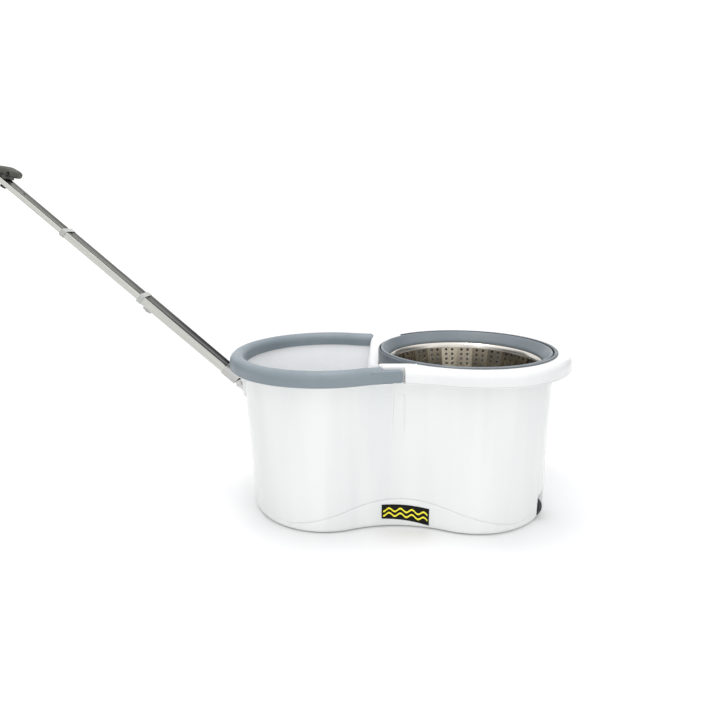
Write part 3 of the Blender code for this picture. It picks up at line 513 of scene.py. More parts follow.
def tub_outside():
    rows = [tub_row(lambda x: FOOT_RING_Z, -0.0035), tub_row(lambda x: 0.0028, -0.0012),
            tub_row(lambda x: 0.0050, -0.0002), tub_row(lambda x: FOOT_EDGE_Z, 0.0003)]
    for k in range(1, 7):
        t = k / 6
        rows.append(tub_row(lambda x: FOOT_EDGE_Z + (wave_z(x) - WAVE_LOW - FOOT_EDGE_Z) * t,
                            0.0004 + 0.0002 * t, True))
    rows.append(tub_row(lambda x: wave_z(x) - 0.0007, 0.0005, True))
    rows.append(tub_row(lambda x: wave_z(x), -0.0010, True))
    rows.append(tub_row(lambda x: wave_z(x) + 0.0005, -0.0011, True))
    rows.append(tub_row(lambda x: wave_z(x) + WAVE_HIGH, 0.0, True))
    for k in range(1, 21):
        t = k / 20
        rows.append(tub_row(lambda x: wave_z(x) + WAVE_HIGH + (ROWS_TOP_Z - WAVE_HIGH - wave_z(x)) * t, 0.0))
    for z in (0.1780, 0.1840, 0.1852, 0.1858, 0.1864, 0.1870, 0.1876, 0.1890, 0.1940, 0.1990):
        rows.append(tub_row(lambda x: z, 0.0))
    rows.append(tub_row(lambda x: 0.2015, 0.0004))
    rows.append(tub_row(lambda x: 0.2028, 0.0014))
    return rows


tub_rows = tub_outside()
tub_rows += [rim_loop(FLANGE_Z, -0.0010), rim_loop(FLANGE_Z + 0.0004, -0.0006),
             rim_loop(TUB_TOP_Z - 0.0004, -0.0006), rim_loop(TUB_TOP_Z, -0.0010)]
tub = loft("bucket_tub_look", tub_rows)
inside_rows = [tub_loop(FLOOR_TOP_Z, -0.0105), tub_loop(0.0050, -0.0082), tub_loop(0.0062, -0.0062),
               tub_loop(0.0086, -0.0044), tub_loop(0.0120, -0.0034), tub_loop(0.0180, -0.0027)]
inside_rows += [tub_loop(0.0300 + 0.0305 * k, -WALL) for k in range(6)]
inside_rows += [tub_loop(0.1910, -WALL + 0.0008), tub_loop(0.1998, -WALL + 0.0014),
                tub_loop(0.2150, -WALL + 0.0014)]
inside = loft("tub_inside", inside_rows)


def wheel_arch(radius, left_x, low_z):
    points = [(left_x, low_z), (WHEEL_X + 0.045, low_z), (WHEEL_X + 0.045, WHEEL_Z + radius)]
    for k in range(25):
        a = math.pi / 2 + math.pi / 2 * k / 24
        points.append((WHEEL_X + radius * math.cos(a), WHEEL_Z + radius * math.sin(a)))
    return points


pockets = []
for side, sign in SIDES:
    low, high = sorted((sign * (WHEEL_Y - POCKET_HALF), sign * (WHEEL_Y + POCKET_HALF)))
    cut(inside, prism("house", wheel_arch(POCKET_R + WALL, WHEEL_X - POCKET_R - WALL, -0.010), "Y",
                      low - WALL, high + WALL))
    pockets.append(prism("pocket", wheel_arch(POCKET_R, WHEEL_X - POCKET_R, -0.012), "Y", low, high))
cut(tub, inside)
cut(tub, loft("underside", [tub_loop(-0.002, -0.008), tub_loop(0.0020, -0.008)]))
cut(tub, *pockets)
cut(tub, rod("drain_hole", (WASH_X, 0.090, PLUG_Z), (WASH_X, 0.120, PLUG_Z), 0.0085))
for side, sign in SIDES:
    y0, y1 = sorted((sign * 0.1069, sign * 0.1300))
    cut(tub, block("cheek_notch", (-0.0145, y0, 0.2000), (-0.0012, y1, 0.2100)))
show(tub, mat_tub, "bucket", ["bucket_tub"], 24.0)
# the inner faces of the one moulded tub take the brighter copy: painted light
tub.data.materials.append(mat_bowl_painted_light)
for face in tub.data.polygons:
    x, y, z = face.center
    middle = Vector((x - (WASH_X if x < 0 else SPIN_X), y, 0.0))
    if 0.004 < z < 0.2045 and face.normal.dot(middle) < 0.0:
        face.material_index = 1

# ---------------------------------------------------------------- deck, strips and saddle
def lid_loops(grow, drop, low):
    loops = [rim_loop(low, grow)]
    for k in range(13):
        a = math.pi / 2 * k / 12
        inset = RIM_ROUND * (1 - math.cos(a))
        loops.append(rim_loop(RIM_TOP_Z - RIM_ROUND * (1 - math.sin(a)) - drop, grow - inset))
    return loops


deck = loft("rim_deck_look", lid_loops(0.0, 0.0, RIM_UNDER_Z))
cut(deck, loft("deck_hollow", lid_loops(-WALL, WALL, 0.1900)))
cut(deck, block("deck_wash_side", (-0.3000, -0.2, 0.15), (COLLAR_FROM_X, 0.2, 0.30)))
for side, sign in SIDES:
    y0, y1 = sorted((sign * STRIP_IN_Y, sign * STRIP_OUT_Y))
    strip = prism("strip", [(STRIP_X0, RIM_UNDER_Z), (0.0220, RIM_UNDER_Z), (0.0220, RIM_TOP_Z),
                            (STRIP_X0 + 0.0024, RIM_TOP_Z), (STRIP_X0 + 0.0008, RIM_TOP_Z - 0.0014),
                            (STRIP_X0, RIM_TOP_Z - 0.0095)], "Y", y0, y1)
    soften(strip, 0.0005, 2)
    hip_x = [HIP_X + HIP_LENGTH * k / 12 for k in range(13)]
    hip = [(x, sign * (rim_y(x) - 0.0001)) for x in hip_x]
    hip += [(HIP_END_X, sign * 0.1040), (HIP_X, sign * 0.1040)]
    lower_hip = prism("rim_end", hip, "Z", RIM_UNDER_Z, RIM_TOP_Z - RIM_ROUND)
    crown = []
    for k in range(13):
        a = math.pi / 2 * k / 12
        inset = RIM_ROUND * (1 - math.cos(a))
        height = RIM_TOP_Z - RIM_ROUND * (1 - math.sin(a))
        loop = [(x, sign * (rim_y(x) - 0.0001 - inset), height) for x in hip_x]
        loop += [(HIP_END_X, sign * 0.1010, height), (HIP_X, sign * 0.1010, height)]
        crown.append(loop)
    crown.insert(0, [(p[0], p[1], RIM_TOP_Z - RIM_ROUND - 0.0020) for p in crown[0]])
    add(deck, strip, lower_hip, loft("rim_crown", crown))

saddle_rows = []
for k in range(65):
    y = SADDLE_HALF * (k - 32) / 32
    t = min(abs(y) / STRIP_IN_Y, 1.0)
    top = SADDLE_LOW_Z + (RIM_TOP_Z - 0.0006 - SADDLE_LOW_Z) * smooth(t)
    left = STRIP_X0 + 0.0002 - 0.0130 * (1 - min(abs(y) / SADDLE_HALF, 1.0) ** 2)
    low = APRON_LOW_Z if abs(y) <= 0.0831 else (0.1750 if abs(y) <= 0.0901 else top - 0.0080)
    bend = 0.0045 + 0.0085 * (1.0 - smooth((abs(y) - 0.0500) / 0.0420))
    outer, inner = [], []
    for i in range(7):
        a = math.pi / 2 * i / 6
        outer.append((left + bend * (1 - math.cos(a)), y, top - bend * (1 - math.sin(a))))
        inner.append((left + WALL + (bend - WALL) * (1 - math.cos(a)), y,
                      top - bend + (bend - WALL) * math.sin(a)))
    saddle_rows.append([(left, y, low)] + outer + [(0.0200, y, top), (0.0200, y, top - WALL)]
                       + inner[::-1] + [(left + WALL, y, low)])
add(deck, loft("saddle_plate", saddle_rows))
cut(deck, turned("well", [(0.0, 0.05), (WELL_R, 0.05), (WELL_R, 0.30), (0.0, 0.30)], 192, centre=SPIN_CENTRE))
for side, sign in SIDES:
    cut(deck, rod("strip_hole", (CARRY_PIVOT_X, sign * 0.0990, CARRY_PIVOT_Z),
                  (CARRY_PIVOT_X, sign * 0.1100, CARRY_PIVOT_Z), 0.0033))
show(deck, mat_deck, "bucket", ["rim_deck"], 28.0)

# ---------------------------------------------------------------- fixed collar
COLLAR_TURN = math.acos((COLLAR_FROM_X + 0.0008 - RING_X) / COLLAR_R)
angles = [2 * math.pi * (k + 0.5) / 216 - math.pi for k in range(216)]
angles += [sign * (COLLAR_TURN + nudge) for sign in (-1.0, 1.0) for nudge in (-0.0004, 0.0004, 0.0012)]
collar_loops = []
for a in sorted(angles):
    top = RIM_TOP_Z
    if abs(a) < COLLAR_TURN:
        section = ((COLLAR_IN_R, COLLAR_SEAT_Z), (COLLAR_STEP_R, COLLAR_SEAT_Z), (COLLAR_STEP_R, top + GAP),
                   (COLLAR_R, top + GAP), (COLLAR_R, top + 0.0009), (COLLAR_R - 0.0008, top + 0.0015),
                   (COLLAR_IN_R, top + 0.0015))
    elif abs(a) < COLLAR_TURN + 0.0008:
        section = ((COLLAR_IN_R, COLLAR_SEAT_Z), (COLLAR_STEP_R, COLLAR_SEAT_Z), (COLLAR_STEP_R, top + GAP),
                   (COLLAR_STEP_R, top + 0.0005),
                   (COLLAR_STEP_R, top + 0.0009), (0.1202, top + 0.0015), (COLLAR_IN_R, top + 0.0015))
    else:
        section = ((COLLAR_IN_R, WELL_WALL_Z), (COLLAR_STEP_R, WELL_WALL_Z), (COLLAR_STEP_R, 0.2180),
                   (COLLAR_STEP_R, 0.2195),
                   (COLLAR_STEP_R, 0.2210), (0.1201, 0.2222), (COLLAR_IN_R, 0.2228))
    collar_loops.append([(RING_X + r * math.cos(a), r * math.sin(a), z) for r, z in section])
show(loft("spinner_collar_look", collar_loops, ring=True), mat_slate, "bucket",
     ["spinner_collar"])

# ---------------------------------------------------------------- carry handle
SECTION = [(0.0, RIM_UNDER_Z), (0.0, RIM_UNDER_Z + 0.0040)]
for k in range(25):
    a = math.pi * k / 24
    SECTION.append((HANDLE_WIDTH / 2 * (1 - math.cos(a)), RIM_TOP_Z - HANDLE_WIDTH / 2 * (1 - math.sin(a))))
SECTION += [(HANDLE_WIDTH, RIM_UNDER_Z + 0.0040), (HANDLE_WIDTH, RIM_UNDER_Z)]
HOLLOW = [(WALL, RIM_UNDER_Z - 0.004)]
for k in range(13):
    a = math.pi * k / 12
    inner = HANDLE_WIDTH / 2 - WALL
    HOLLOW.append((HANDLE_WIDTH / 2 - inner * math.cos(a),
                   RIM_TOP_Z - HANDLE_WIDTH / 2 + inner * math.sin(a)))
HOLLOW.append((HANDLE_WIDTH - WALL, RIM_UNDER_Z - 0.004))


def wash_path(end_x, count_neck=16, count_arc=112):
    """Points and outward directions along the rim round the wash bowl, from end_x back to end_x."""
    nx, ny = neck_centre(WASH_X, SPIN_X, RIM_WASH_R, RIM_SPIN_R, RIM_NECK_R)
    a1 = math.atan2(ny, nx)
    first = math.asin((end_x - WASH_X - nx) / RIM_NECK_R)
    last = -(math.pi / 2 - a1)
    path = []
    for k in range(count_neck):
        a = first + (last - first) * k / count_neck
        out = Vector((-math.sin(a), -math.cos(a), 0.0))
        path.append((Vector((WASH_X + nx, -ny, 0.0)) - out * RIM_NECK_R, out))
    for k in range(count_arc + 1):
        a = -a1 - (2 * math.pi - 2 * a1) * k / count_arc
        out = Vector((math.cos(a), math.sin(a), 0.0))
        path.append((Vector((WASH_X, 0.0, 0.0)) + out * RIM_WASH_R, out))
    for point, out in reversed(path[:count_neck]):
        path.append((Vector((point.x, -point.y, 0.0)), Vector((out.x, -out.y, 0.0))))
    return path


def along_path(end_x, section):
    """Sweeps a (depth inward, z) section along the wash path, with both ends cut flat at end_x."""
    loops = []
    for point, out in wash_path(end_x):
        loops.append([point - out * d + Vector((0.0, 0.0, z)) for d, z in section])
    first = [Vector((end_x, p.y, p.z)) for p in loops[0]]
    final = [Vector((end_x, p.y, p.z)) for p in loops[-1]]
    return [first] + loops[1:-1] + [final]


carry = loft("carry_handle_look", along_path(HANDLE_END_X, SECTION))
cut(carry, loft("carry_hollow", along_path(HANDLE_END_X - 0.0180, HOLLOW)))
for side, sign in SIDES:
    plan_x = [CHEEK_FROM_X + (CHEEK_END_X - CHEEK_FROM_X) * k / 16 for k in range(17)]
    plan = [(x, sign * (rim_y(x) - 0.0002)) for x in plan_x]
    plan += [(CHEEK_END_X, sign * CHEEK_IN_Y), (CHEEK_FROM_X, sign * CHEEK_IN_Y)]
    cheek = prism("cheek", plan, "Z", CHEEK_LOW_Z, CHEEK_TOP_Z)
    for level, way in ((CHEEK_TOP_Z, 1.0), (CHEEK_LOW_Z, -1.0)):
        corner = [(CHEEK_END_X + 0.002, level - way * CHEEK_ROUND),
                  (CHEEK_END_X + 0.002, level + way * 0.002),
                  (CHEEK_END_X - CHEEK_ROUND, level + way * 0.002)]
        for k in range(13):
            a = math.pi / 2 * k / 12
            corner.append((CHEEK_END_X - CHEEK_ROUND * (1 - math.sin(a)),
                           level - way * CHEEK_ROUND * (1 - math.cos(a))))
        y0, y1 = sorted((sign * 0.1000, sign * 0.1300))
        cut(cheek, prism("cheek_corner", corner, "Y", y0, y1))
    soften(cheek, 0.0012, 3)
    add(carry, cheek)
    cut(carry, rod("cheek_hole", (CARRY_PIVOT_X, sign * 0.1000, CARRY_PIVOT_Z),
                   (CARRY_PIVOT_X, sign * 0.1120, CARRY_PIVOT_Z), 0.00305))
show(carry, mat_carry, "carry", ["carry_handle"], 30.0)

# ---------------------------------------------------------------- ring and perforated basket
ring_profile = [(RING_R, RING_LOW_Z), (RING_R, 0.2222), (0.1170, 0.2232), (0.1166, 0.2240), (0.1160, 0.22450),
                (0.1152, RING_TOP_Z), (0.1145, 0.22455), (0.1138, 0.2238), (0.1110, 0.2199), (0.1080, 0.2156),
                (0.1058, 0.2124), (0.1053, 0.2113), (0.1052, 0.2090), (0.1085, 0.2090), (0.1152, 0.2165),
                (0.1152, RING_LOW_Z)]
show(turned("basket_ring_look", ring_profile, 192, centre=SPIN_CENTRE), mat_ring, "basket",
     ["basket_ring"], 38.0)

PANELS, ROWS = 26, 11
WALL_LOW, WALL_TOP = (0.0850, 0.1215), (0.1022, 0.2015)


def wall_at(column, row):
    """Point of the panelled basket wall; column counts half panels, row runs 0 to 1 upward."""
    step = math.pi / PANELS
    panel = math.floor(column / 2.0 + 1e-9)
    middle = (2 * panel + 1) * step
    a = column * step
    flat = math.cos(step) / math.cos(a - middle) if abs(a - middle) < 2 * step else 1.0
    r = WALL_LOW[0] + (WALL_TOP[0] - WALL_LOW[0]) * row
    z = WALL_LOW[1] + (WALL_TOP[1] - WALL_LOW[1]) * row
    r *= flat * 0.9990
    return (RING_X + r * math.cos(a), r * math.sin(a), z)


def perforated_wall():
    """Quads round an eight-sided hole in every cell, two columns of holes to a panel."""
    verts, faces = [], []
    for c in range(2 * PANELS):
        for r in range(ROWS):
            start = len(verts)
            corners = [(0, 0), (0.5, 0), (1, 0), (1, 0.5), (1, 1), (0.5, 1), (0, 1), (0, 0.5)]
            for u, v in corners:
                verts.append(wall_at(min(c + u, c + 0.999999), (r + v) / ROWS))
            lean = 0.60 if c % 2 == 0 else 0.40
            for k in range(8):
                a = math.radians(225 + 45 * k)
                u, v = lean + 0.180 * math.cos(a), 0.5 + 0.285 * math.sin(a)
                verts.append(wall_at(c + u, (r + v) / ROWS))
            for k in range(8):
                m = (k + 1) % 8
                faces.append((start + k, start + m, start + 8 + m, start + 8 + k))
    return make("spin_basket_look", verts, faces)


wall = perforated_wall()
mod = wall.modifiers.new("sheet", "SOLIDIFY")
mod.thickness = 0.0007
mod.offset = 0.0
settle(wall)
show(wall, mat_panels_painted_reflection, "basket", ["spin_basket"], 6.0)
lip = [(0.1016, 0.2010), (0.1026, 0.2040), (0.1040, 0.2058), (0.1066, 0.2072), (0.1075, 0.2076),
       (0.1075, 0.2087), (0.1056, 0.2087), (0.1044, 0.2084), (0.1034, 0.2074), (0.1020, 0.2058),
       (0.1010, 0.2040), (0.1006, 0.2010)]
show(turned("spin_basket_lip", lip, 192, centre=SPIN_CENTRE), mat_steel, "basket", angle=40.0)
pan = [(0.0165, 0.1150), (0.0815, 0.1150), (0.0832, 0.1154), (0.0843, 0.1165), (0.0848, 0.1180),
       (0.0856, 0.1222), (0.0848, 0.1224), (0.0839, 0.1184), (0.0834, 0.1172), (0.0824, 0.1163),
       (0.0812, 0.1160), (0.0600, 0.1160), (0.0590, 0.1166), (0.0560, 0.1166), (0.0550, 0.1160),
       (0.0165, 0.1160)]
floor_pan = turned("spin_basket_floor", pan, 160, centre=SPIN_CENTRE)
drills = []
for k in range(8):
    a = 2 * math.pi * (k + 0.5) / 8
    x, y = RING_X + 0.058 * math.cos(a), 0.058 * math.sin(a)
    drills.append(rod("drain", (x, y, 0.110), (x, y, 0.120), 0.0050, 32))
cut(floor_pan, *drills)
show(floor_pan, mat_steel, "basket", angle=35.0)

hub = turned("basket_hub_look", [
    (0.0065, 0.0688), (0.0125, 0.0688), (0.0125, 0.1050), (0.0160, 0.1070), (0.0160, 0.1163),
    (0.0300, 0.1163), (0.0300, 0.1190), (0.0297, 0.1197), (0.0290, 0.1200), (0.0195, 0.1200),
    (0.0186, 0.1204), (0.0182, 0.1212), (0.0176, 0.1282), (0.0171, 0.1289), (0.0166, 0.1290),
    (0.0126, 0.1290), (0.0120, 0.1285), (0.0120, 0.1230), (0.0043, 0.1230), (0.0043, 0.0900),
    (0.0065, 0.0900)], 72, centre=SPIN_CENTRE)
slots = []
for k in range(6):
    a = 2 * math.pi * k / 6
    corner = []
    for u, v in ((0.0095, -0.0022), (0.0200, -0.0022), (0.0200, 0.0022), (0.0095, 0.0022)):
        corner.append((RING_X + u * math.cos(a) - v * math.sin(a), u * math.sin(a) + v * math.cos(a)))
    slots.append(prism("drive_slot", corner, "Z", 0.1245, 0.1320))
cut(hub, *slots)
show(hub, mat_hub, "basket", ["basket_hub"])

# ---------------------------------------------------------------- wheels
for side, sign in SIDES:
    y = sign * WHEEL_Y
    h = WHEEL_W / 2
    profile = [(0.00255, -h + 0.0015), (0.0050, -h + 0.0015), (0.0054, -h + 0.0010), (0.0070, -h + 0.0010),
               (0.0074, -h + 0.0015), (0.0108, -h + 0.0015), (0.0114, -h + 0.0004), (0.0119, -h),
               (0.0150, -h), (0.0157, -h + 0.0004), (WHEEL_R, -h + 0.0012)]
    for rib in (-0.0036, 0.0, 0.0036):
        profile += [(WHEEL_R, rib - 0.0006), (0.0154, rib - 0.0004), (0.0154, rib + 0.0004),
                    (WHEEL_R, rib + 0.0006)]
    profile += [(r, -t) for r, t in profile[:11][::-1]]
    wheel = turned(f"wheel_{side}_look", profile, 96, "Y", (WHEEL_X, y, WHEEL_Z))
    show(wheel, mat_rubber, f"{side}_wheel", [f"wheel_{side}"])

# ---------------------------------------------------------------- drain plug
plug = turned("drain_plug_look", [
    (0.0, 0.0995), (0.0074, 0.0995), (0.0082, 0.1010), (0.0082, PLUG_WALL_Y + 0.0004),
    (0.0122, PLUG_WALL_Y + 0.0009), (0.0125, PLUG_WALL_Y + 0.0013),
    (0.0125, PLUG_WALL_Y + 0.0026), (0.0121, PLUG_WALL_Y + 0.0033),
    (0.0112, PLUG_WALL_Y + 0.0036), (0.0, PLUG_WALL_Y + 0.0036)], 96, "Y", (WASH_X, 0.0, PLUG_Z))
tab = block("plug_tab", (WASH_X - 0.0070, PLUG_WALL_Y + 0.0020, PLUG_Z - 0.0018),
            (WASH_X + 0.0070, PLUG_WALL_Y + 0.0090, PLUG_Z + 0.0018))
soften(tab, 0.0008, 3)
add(plug, tab)
show(plug, mat_plug, "plug", ["drain_plug"])


# ---------------------------------------------------------------- front plate with a plain wave pattern
def plate_sheet(name, low, high, x0, x1, near, far, count=40):
    rows = []
    for k in range(count + 1):
        x = x0 + (x1 - x0) * k / count
        z0, z1 = low(x), high(x)
        corners = ((z0, near), (z1, near), (z1, far), (z0, far))
        rows.append([(x, -neck_y(x, z) - lift, z) for z, lift in corners])
    return loft(name, rows)


def plate_low(x):
    t = (x - PLATE_X0) / PLATE_LENGTH
    return 0.0142 - 0.0076 * t + 0.0012 * math.sin(math.pi * t)


def plate_high(x):
    t = (x - PLATE_X0) / PLATE_LENGTH
    return 0.0343 - 0.0040 * t + 0.0012 * math.sin(math.pi * t)


show(plate_sheet("front_plate_look", plate_low, plate_high, PLATE_X0, PLATE_X1, 0.0004, 0.0012), mat_plate,
     "bucket", ["front_plate"])
for number, level in enumerate((0.32, 0.64), 1):
    def ripple(x):
        return plate_low(x) + (plate_high(x) - plate_low(x)) * level + 0.0024 * math.sin((x + 0.02) * 420.0)
    show(plate_sheet(f"plate_wave_{number}", lambda x: ripple(x) - 0.0013, lambda x: ripple(x) + 0.0013,
                     -0.0240, 0.0332, 0.0011, 0.00126), mat_yellow, "bucket")


# ---------------------------------------------------------------- pull handle
def pole(s, n=0.0, y=0.0):
    return PULL + ALONG * s + ACROSS * n + Vector((0.0, y, 0.0))


def tube_outline(width, height, corner, groove=0.0, steps=6):
    """Rounded flat section, with a shallow groove on each of its two broad faces when asked."""
    points = []
    centres = ((width / 2 - corner, height / 2 - corner), (-width / 2 + corner, height / 2 - corner),
               (-width / 2 + corner, -height / 2 + corner), (width / 2 - corner, -height / 2 + corner))
    for q, (cy, cn) in enumerate(centres):
        for k in range(steps + 1):
            a = math.pi / 2 * (q + k / steps)
            points.append((cy + corner * math.cos(a), cn + corner * math.sin(a)))
        if groove and q in (0, 2):
            sign = 1.0 if q == 0 else -1.0
            for step, depth in ((0.26, 0.0), (0.22, groove), (-0.22, groove), (-0.26, 0.0)):
                points.append((sign * width * step, sign * (height / 2 - depth)))
    return points


def tube(name, s0, s1, width, height, corner, wall, groove=0.0):
    outer = tube_outline(width, height, corner, groove)
    inner = tube_outline(width - 2 * wall, height - 2 * wall, max(corner - wall, 0.0004), groove * 0.999)
    ease = 0.00025
    loops = []
    for s, ring_points, squeeze in ((s0, outer, 0.97), (s0 + ease, outer, 1.0), (s1 - ease, outer, 1.0),
                                    (s1, outer, 0.97), (s1, inner, 1.0), (s0, inner, 1.0)):
        loops.append([pole(s, n * squeeze, y * (0.5 + squeeze / 2)) for y, n in ring_points])
    return loft(name, loops, ring=True)


def paint_dark_top(obj):
    """The face on the upper side of a tube is painted darker, as a painted dark reflection."""
    obj.data.materials.append(mat_painted_dark_top)
    for face in obj.data.polygons:
        if face.normal.dot(ACROSS) > 0.75:
            face.material_index = 1


def show_tube(obj, body, node):
    show(obj, mat_alu, body, [node])
    paint_dark_top(obj)


show_tube(tube("pull_tube_outer_look", 0.0165, 0.1800, 0.0260, 0.0122, 0.0028, 0.0010, 0.0005), "pull_lower",
          "pull_tube_outer")
show_tube(tube("pull_tube_middle_look", 0.1480, 0.3130, 0.0234, 0.0096, 0.0022, 0.0009, 0.0004),
          "pull_middle", "pull_tube_middle")
inner_tube = tube("pull_tube_inner_look", 0.2820, 0.4330, 0.0210, 0.0072, 0.0018, 0.0009, 0.0004)
cut(inner_tube, rod("trigger_bore", pole(0.4125, -0.0010), pole(0.4125, -0.0060), 0.0023, 24),
    rod("index_hole", pole(0.3850, 0.0060), pole(0.3850, 0.0015), 0.0016, 24))
show_tube(inner_tube, "pull_upper", "pull_tube_inner")
show(tube("pull_sleeve_look", 0.0060, 0.0300, 0.0286, 0.0148, 0.0030, 0.0010), mat_sleeve, "pull_lower",
     ["pull_sleeve"])
show(tube("tube_collar_lower_look", 0.1752, 0.1822, 0.0274, 0.0136, 0.0032, 0.0004), mat_collar, "pull_lower",
     ["tube_collar_lower"])
show(tube("tube_collar_upper_look", 0.3082, 0.3150, 0.0248, 0.0110, 0.0027, 0.0004), mat_collar,
     "pull_middle", ["tube_collar_upper"])

GRIP_LINE = ((-0.5044, 0.4664, 0.0030), (-0.5062, 0.4662, 0.0050), (-0.5102, 0.4674, 0.0060),
             (-0.5149, 0.4698, 0.0062), (-0.5204, 0.4714, 0.0058), (-0.5320, 0.4738, 0.0054),
             (-0.5440, 0.4746, 0.0066), (-0.5700, 0.4744, 0.0080), (-0.5960, 0.4680, 0.0072),
             (-0.6050, 0.4640, 0.0042))


def spline(values, t):
    """Catmull-Rom curve through values, at whole number t on value t."""
    i = min(int(t), len(values) - 2)
    f = t - i
    a, b = values[i], values[i + 1]
    before, after = values[max(i - 1, 0)], values[min(i + 2, len(values) - 1)]
    out = []
    for p, q, r, s in zip(before, a, b, after):
        square, cube = 2 * p - 5 * q + 4 * r - s, 3 * q - p - 3 * r + s
        out.append(0.5 * (2 * q + (r - p) * f + square * f * f + cube * f ** 3))
    return out


grip_loops = []
for k in range(55):
    x, z, tall = spline(GRIP_LINE, 9.0 * k / 54)
    wide = 0.0125 * (0.50 + 0.50 * smooth(k / 20.0)) * (0.62 + 0.38 * smooth((54 - k) / 5.0))
    loop = []
    for i in range(40):
        a = 2 * math.pi * i / 40
        c, s = math.cos(a), math.sin(a)
        loop.append((x, wide * math.copysign(abs(c) ** 0.75, c), z + tall * math.copysign(abs(s) ** 0.75, s)))
    grip_loops.append(loop)
grip = loft("pull_grip_look", grip_loops)
socket = []
for s in (0.4190, 0.4200, 0.4450):
    socket.append([pole(s, n, y) for y, n in tube_outline(0.0250 if s > 0.4195 else 0.0240, 0.0116, 0.0025)])
add(grip, loft("grip_socket", socket))
wedge = [(-0.5183, 0.4602), (-0.5176, 0.4650), (-0.5186, 0.4700), (-0.5240, 0.4740), (-0.5300, 0.4700)]
for s, n in ((0.4192, 0.0050), (0.4192, 0.0039), (0.4122, 0.0039)):
    corner = pole(s, n)
    wedge.append((corner.x, corner.z))
block_under = prism("grip_wedge", wedge, "Y", -0.0095, 0.0095)
soften(block_under, 0.0006, 2)
add(grip, block_under)
cut(grip, loft("grip_bore", [[pole(s, n, y) for y, n in tube_outline(0.0216, 0.0078, 0.0020)]
                             for s in (0.4000, 0.4333)]))
hook = [(-0.5168, 0.4590), (-0.5118, 0.4590), (-0.5114, 0.4658)]
for k in range(17):
    a = -0.25 * math.pi + 1.5 * math.pi * k / 16
    hook.append((-0.5130 + 0.0019 * math.cos(a), 0.4674 + 0.0019 * math.sin(a)))
cut(grip, prism("hook_slot", hook, "Y", -0.03, 0.03))
show(grip, mat_grip, "pull_upper", ["pull_grip"], 40.0)
for side, sign in SIDES:
    rivet = rod(f"grip_rivet_{side}", (-0.5224, sign * 0.0050, 0.4672), (-0.5224, sign * 0.0104, 0.4672),
                0.0022, 40, 0.0005)
    show(rivet, mat_black, "pull_upper")

# ---------------------------------------------------------------- CAD pieces that keep their shape
KEPT = {mat_pin: ["spindle_shaft", "carry_pin_front", "carry_pin_rear", "wheel_axle_front", "wheel_axle_rear",
                  "pull_pin", "hub_screw_1", "hub_screw_2", "hub_screw_3", "bracket_screw_1",
                  "bracket_screw_2"],
        mat_hub: ["hub_clamp"], mat_brass: ["spindle_bush", "thrust_washer"], mat_tub: ["spindle_post"],
        mat_foot: ["foot_1", "foot_2", "foot_3", "foot_4", "foot_5"], mat_deck: ["pull_bracket"],
        mat_black: ["pull_knuckle", "catch_button", "grip_trigger"], mat_collar: ["catch_housing"]}
for mat, names in KEPT.items():
    for name in names:
        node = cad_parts[name]
        node.data.materials.clear()
        node.data.materials.append(mat)
        for face in node.data.polygons:
            face.material_index = 0
        node.data.shade_smooth()
        node.data.set_sharp_from_angle(angle=math.radians(35))

# ---------------------------------------------------------------- floor, light, camera
ground = make("ground", [(-5, -5, 0), (5, -5, 0), (5, 5, 0), (-5, 5, 0)], [(0, 1, 2, 3)])
ground_look = Shader("ground_look")
cloud = ground_look.spread(ground_look.noise(3.0, 3.0), 0.3, 0.7, 0.0, 1.0)
pale = ground_look.mix(cloud, (0.90, 0.90, 0.90), (0.93, 0.93, 0.93))
ground.data.materials.append(ground_look.done(pale, 0.6))

world = bpy.data.worlds.new("studio")
bpy.context.scene.world = world
world.use_nodes = True
tree = world.node_tree
direction = tree.nodes.new("ShaderNodeTexCoord").outputs["Generated"]
parts_of = tree.nodes.new("ShaderNodeSeparateXYZ")
tree.links.new(direction, parts_of.inputs["Vector"])


def world_math(operation, a, b=0.0):
    node = tree.nodes.new("ShaderNodeMath")
    node.operation = operation
    for value, socket in ((a, node.inputs[0]), (b, node.inputs[1])):
        if isinstance(value, bpy.types.NodeSocket):
            tree.links.new(value, socket)
        else:
            socket.default_value = value
    return node.outputs["Value"]


# light and dark upright bands round the studio, with dark zones to the left and the right
sideways = world_math("ARCTAN2", parts_of.outputs["X"], world_math("MULTIPLY", parts_of.outputs["Y"], -1.0))
ramp = tree.nodes.new("ShaderNodeValToRGB")
ramp.color_ramp.interpolation = "EASE"
stops = ((0.000, 1.02), (0.108, 1.02), (0.127, 0.20), (0.250, 0.16), (0.330, 0.50),
         (0.400, 1.10), (0.450, 0.88), (0.500, 1.12), (0.560, 0.90), (0.620, 1.05),
         (0.680, 0.44), (0.750, 0.14), (0.873, 0.18), (0.892, 1.02))
for _ in range(len(stops) - 2):
    ramp.color_ramp.elements.new(0.5)
for element, (place, value) in zip(ramp.color_ramp.elements, stops):
    element.position = place
    element.color = (value, value, value, 1.0)
turn_share = world_math("ADD", world_math("MULTIPLY", sideways, 0.5 / math.pi), 0.5)
tree.links.new(turn_share, ramp.inputs["Fac"])
height = tree.nodes.new("ShaderNodeMapRange")
height.interpolation_type = "SMOOTHSTEP"
height.inputs["From Min"].default_value = 0.46
height.inputs["From Max"].default_value = 0.80
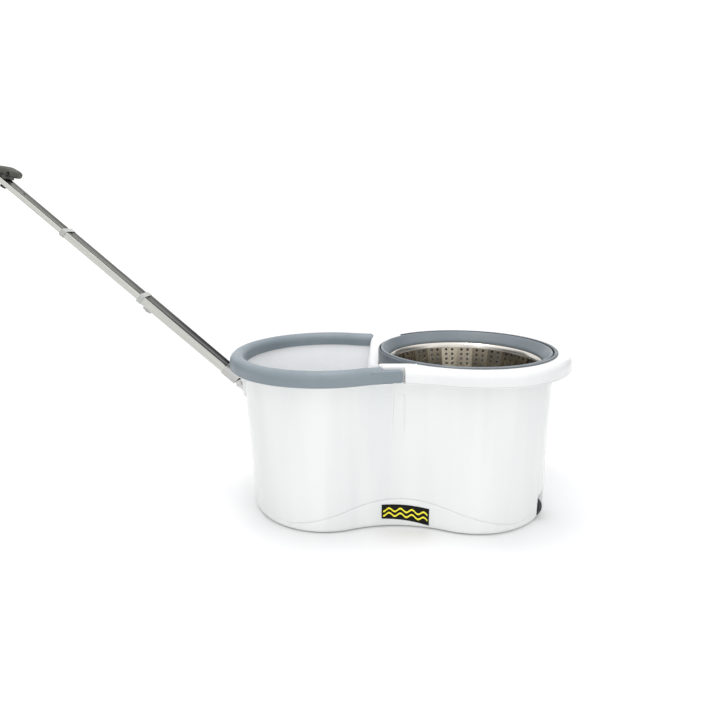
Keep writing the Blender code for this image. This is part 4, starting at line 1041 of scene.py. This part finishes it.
tree.links.new(parts_of.outputs["Z"], height.inputs["Value"])
sky = tree.nodes.new("ShaderNodeMix")
sky.data_type = "RGBA"
tree.links.new(height.outputs["Result"], sky.inputs["Factor"])
tree.links.new(ramp.outputs["Color"], sky.inputs[6])
sky.inputs[7].default_value = (1.18, 1.18, 1.20, 1.0)
tree.links.new(sky.outputs[2], tree.nodes["Background"].inputs["Color"])
tree.nodes["Background"].inputs["Strength"].default_value = 1.16


def lamp(name, place, target, width, height, power):
    light = bpy.data.lights.new(name, "AREA")
    light.shape = "RECTANGLE"
    light.size, light.size_y, light.energy = width, height, power
    obj = bpy.data.objects.new(name, light)
    obj.location = place
    obj.rotation_mode = "QUATERNION"
    obj.rotation_quaternion = (Vector(target) - Vector(place)).to_track_quat("-Z", "Y")
    bpy.context.scene.collection.objects.link(obj)


lamp("key", (-1.1, -1.3, 1.7), (0.0, 0.0, 0.12), 0.7, 0.7, 1.2)
lamp("fill", (1.6, -1.1, 0.9), (0.0, 0.0, 0.12), 0.8, 1.3, 0.6)
lamp("top", (-0.12, -0.05, 1.3), (-0.10, 0.02, 0.05), 0.35, 0.35, 3.2)

view = bpy.data.cameras.new("view")
view.sensor_width = 36.0
view.lens = 25.752
view.shift_x, view.shift_y = 0.02935, -0.03734
view.clip_start = 0.01
camera = bpy.data.objects.new("view", view)
bpy.context.scene.collection.objects.link(camera)
YAW, PITCH, ROLL = 0.0126, 0.1899, -0.0133
forward = Vector((-math.sin(YAW) * math.cos(PITCH), math.cos(YAW) * math.cos(PITCH), -math.sin(PITCH)))
right = Vector((math.cos(YAW), math.sin(YAW), 0.0))
up = right.cross(forward)
right_rolled = right * math.cos(ROLL) + up * math.sin(ROLL)
up_rolled = up * math.cos(ROLL) - right * math.sin(ROLL)
turn = Matrix((right_rolled, up_rolled, -forward)).transposed().to_4x4()
camera.matrix_world = Matrix.Translation(Vector((-0.0802, 0.0, 0.2457)) - forward * 0.7256) @ turn
bpy.context.scene.camera = camera
bpy.context.scene.view_settings.view_transform = "Standard"
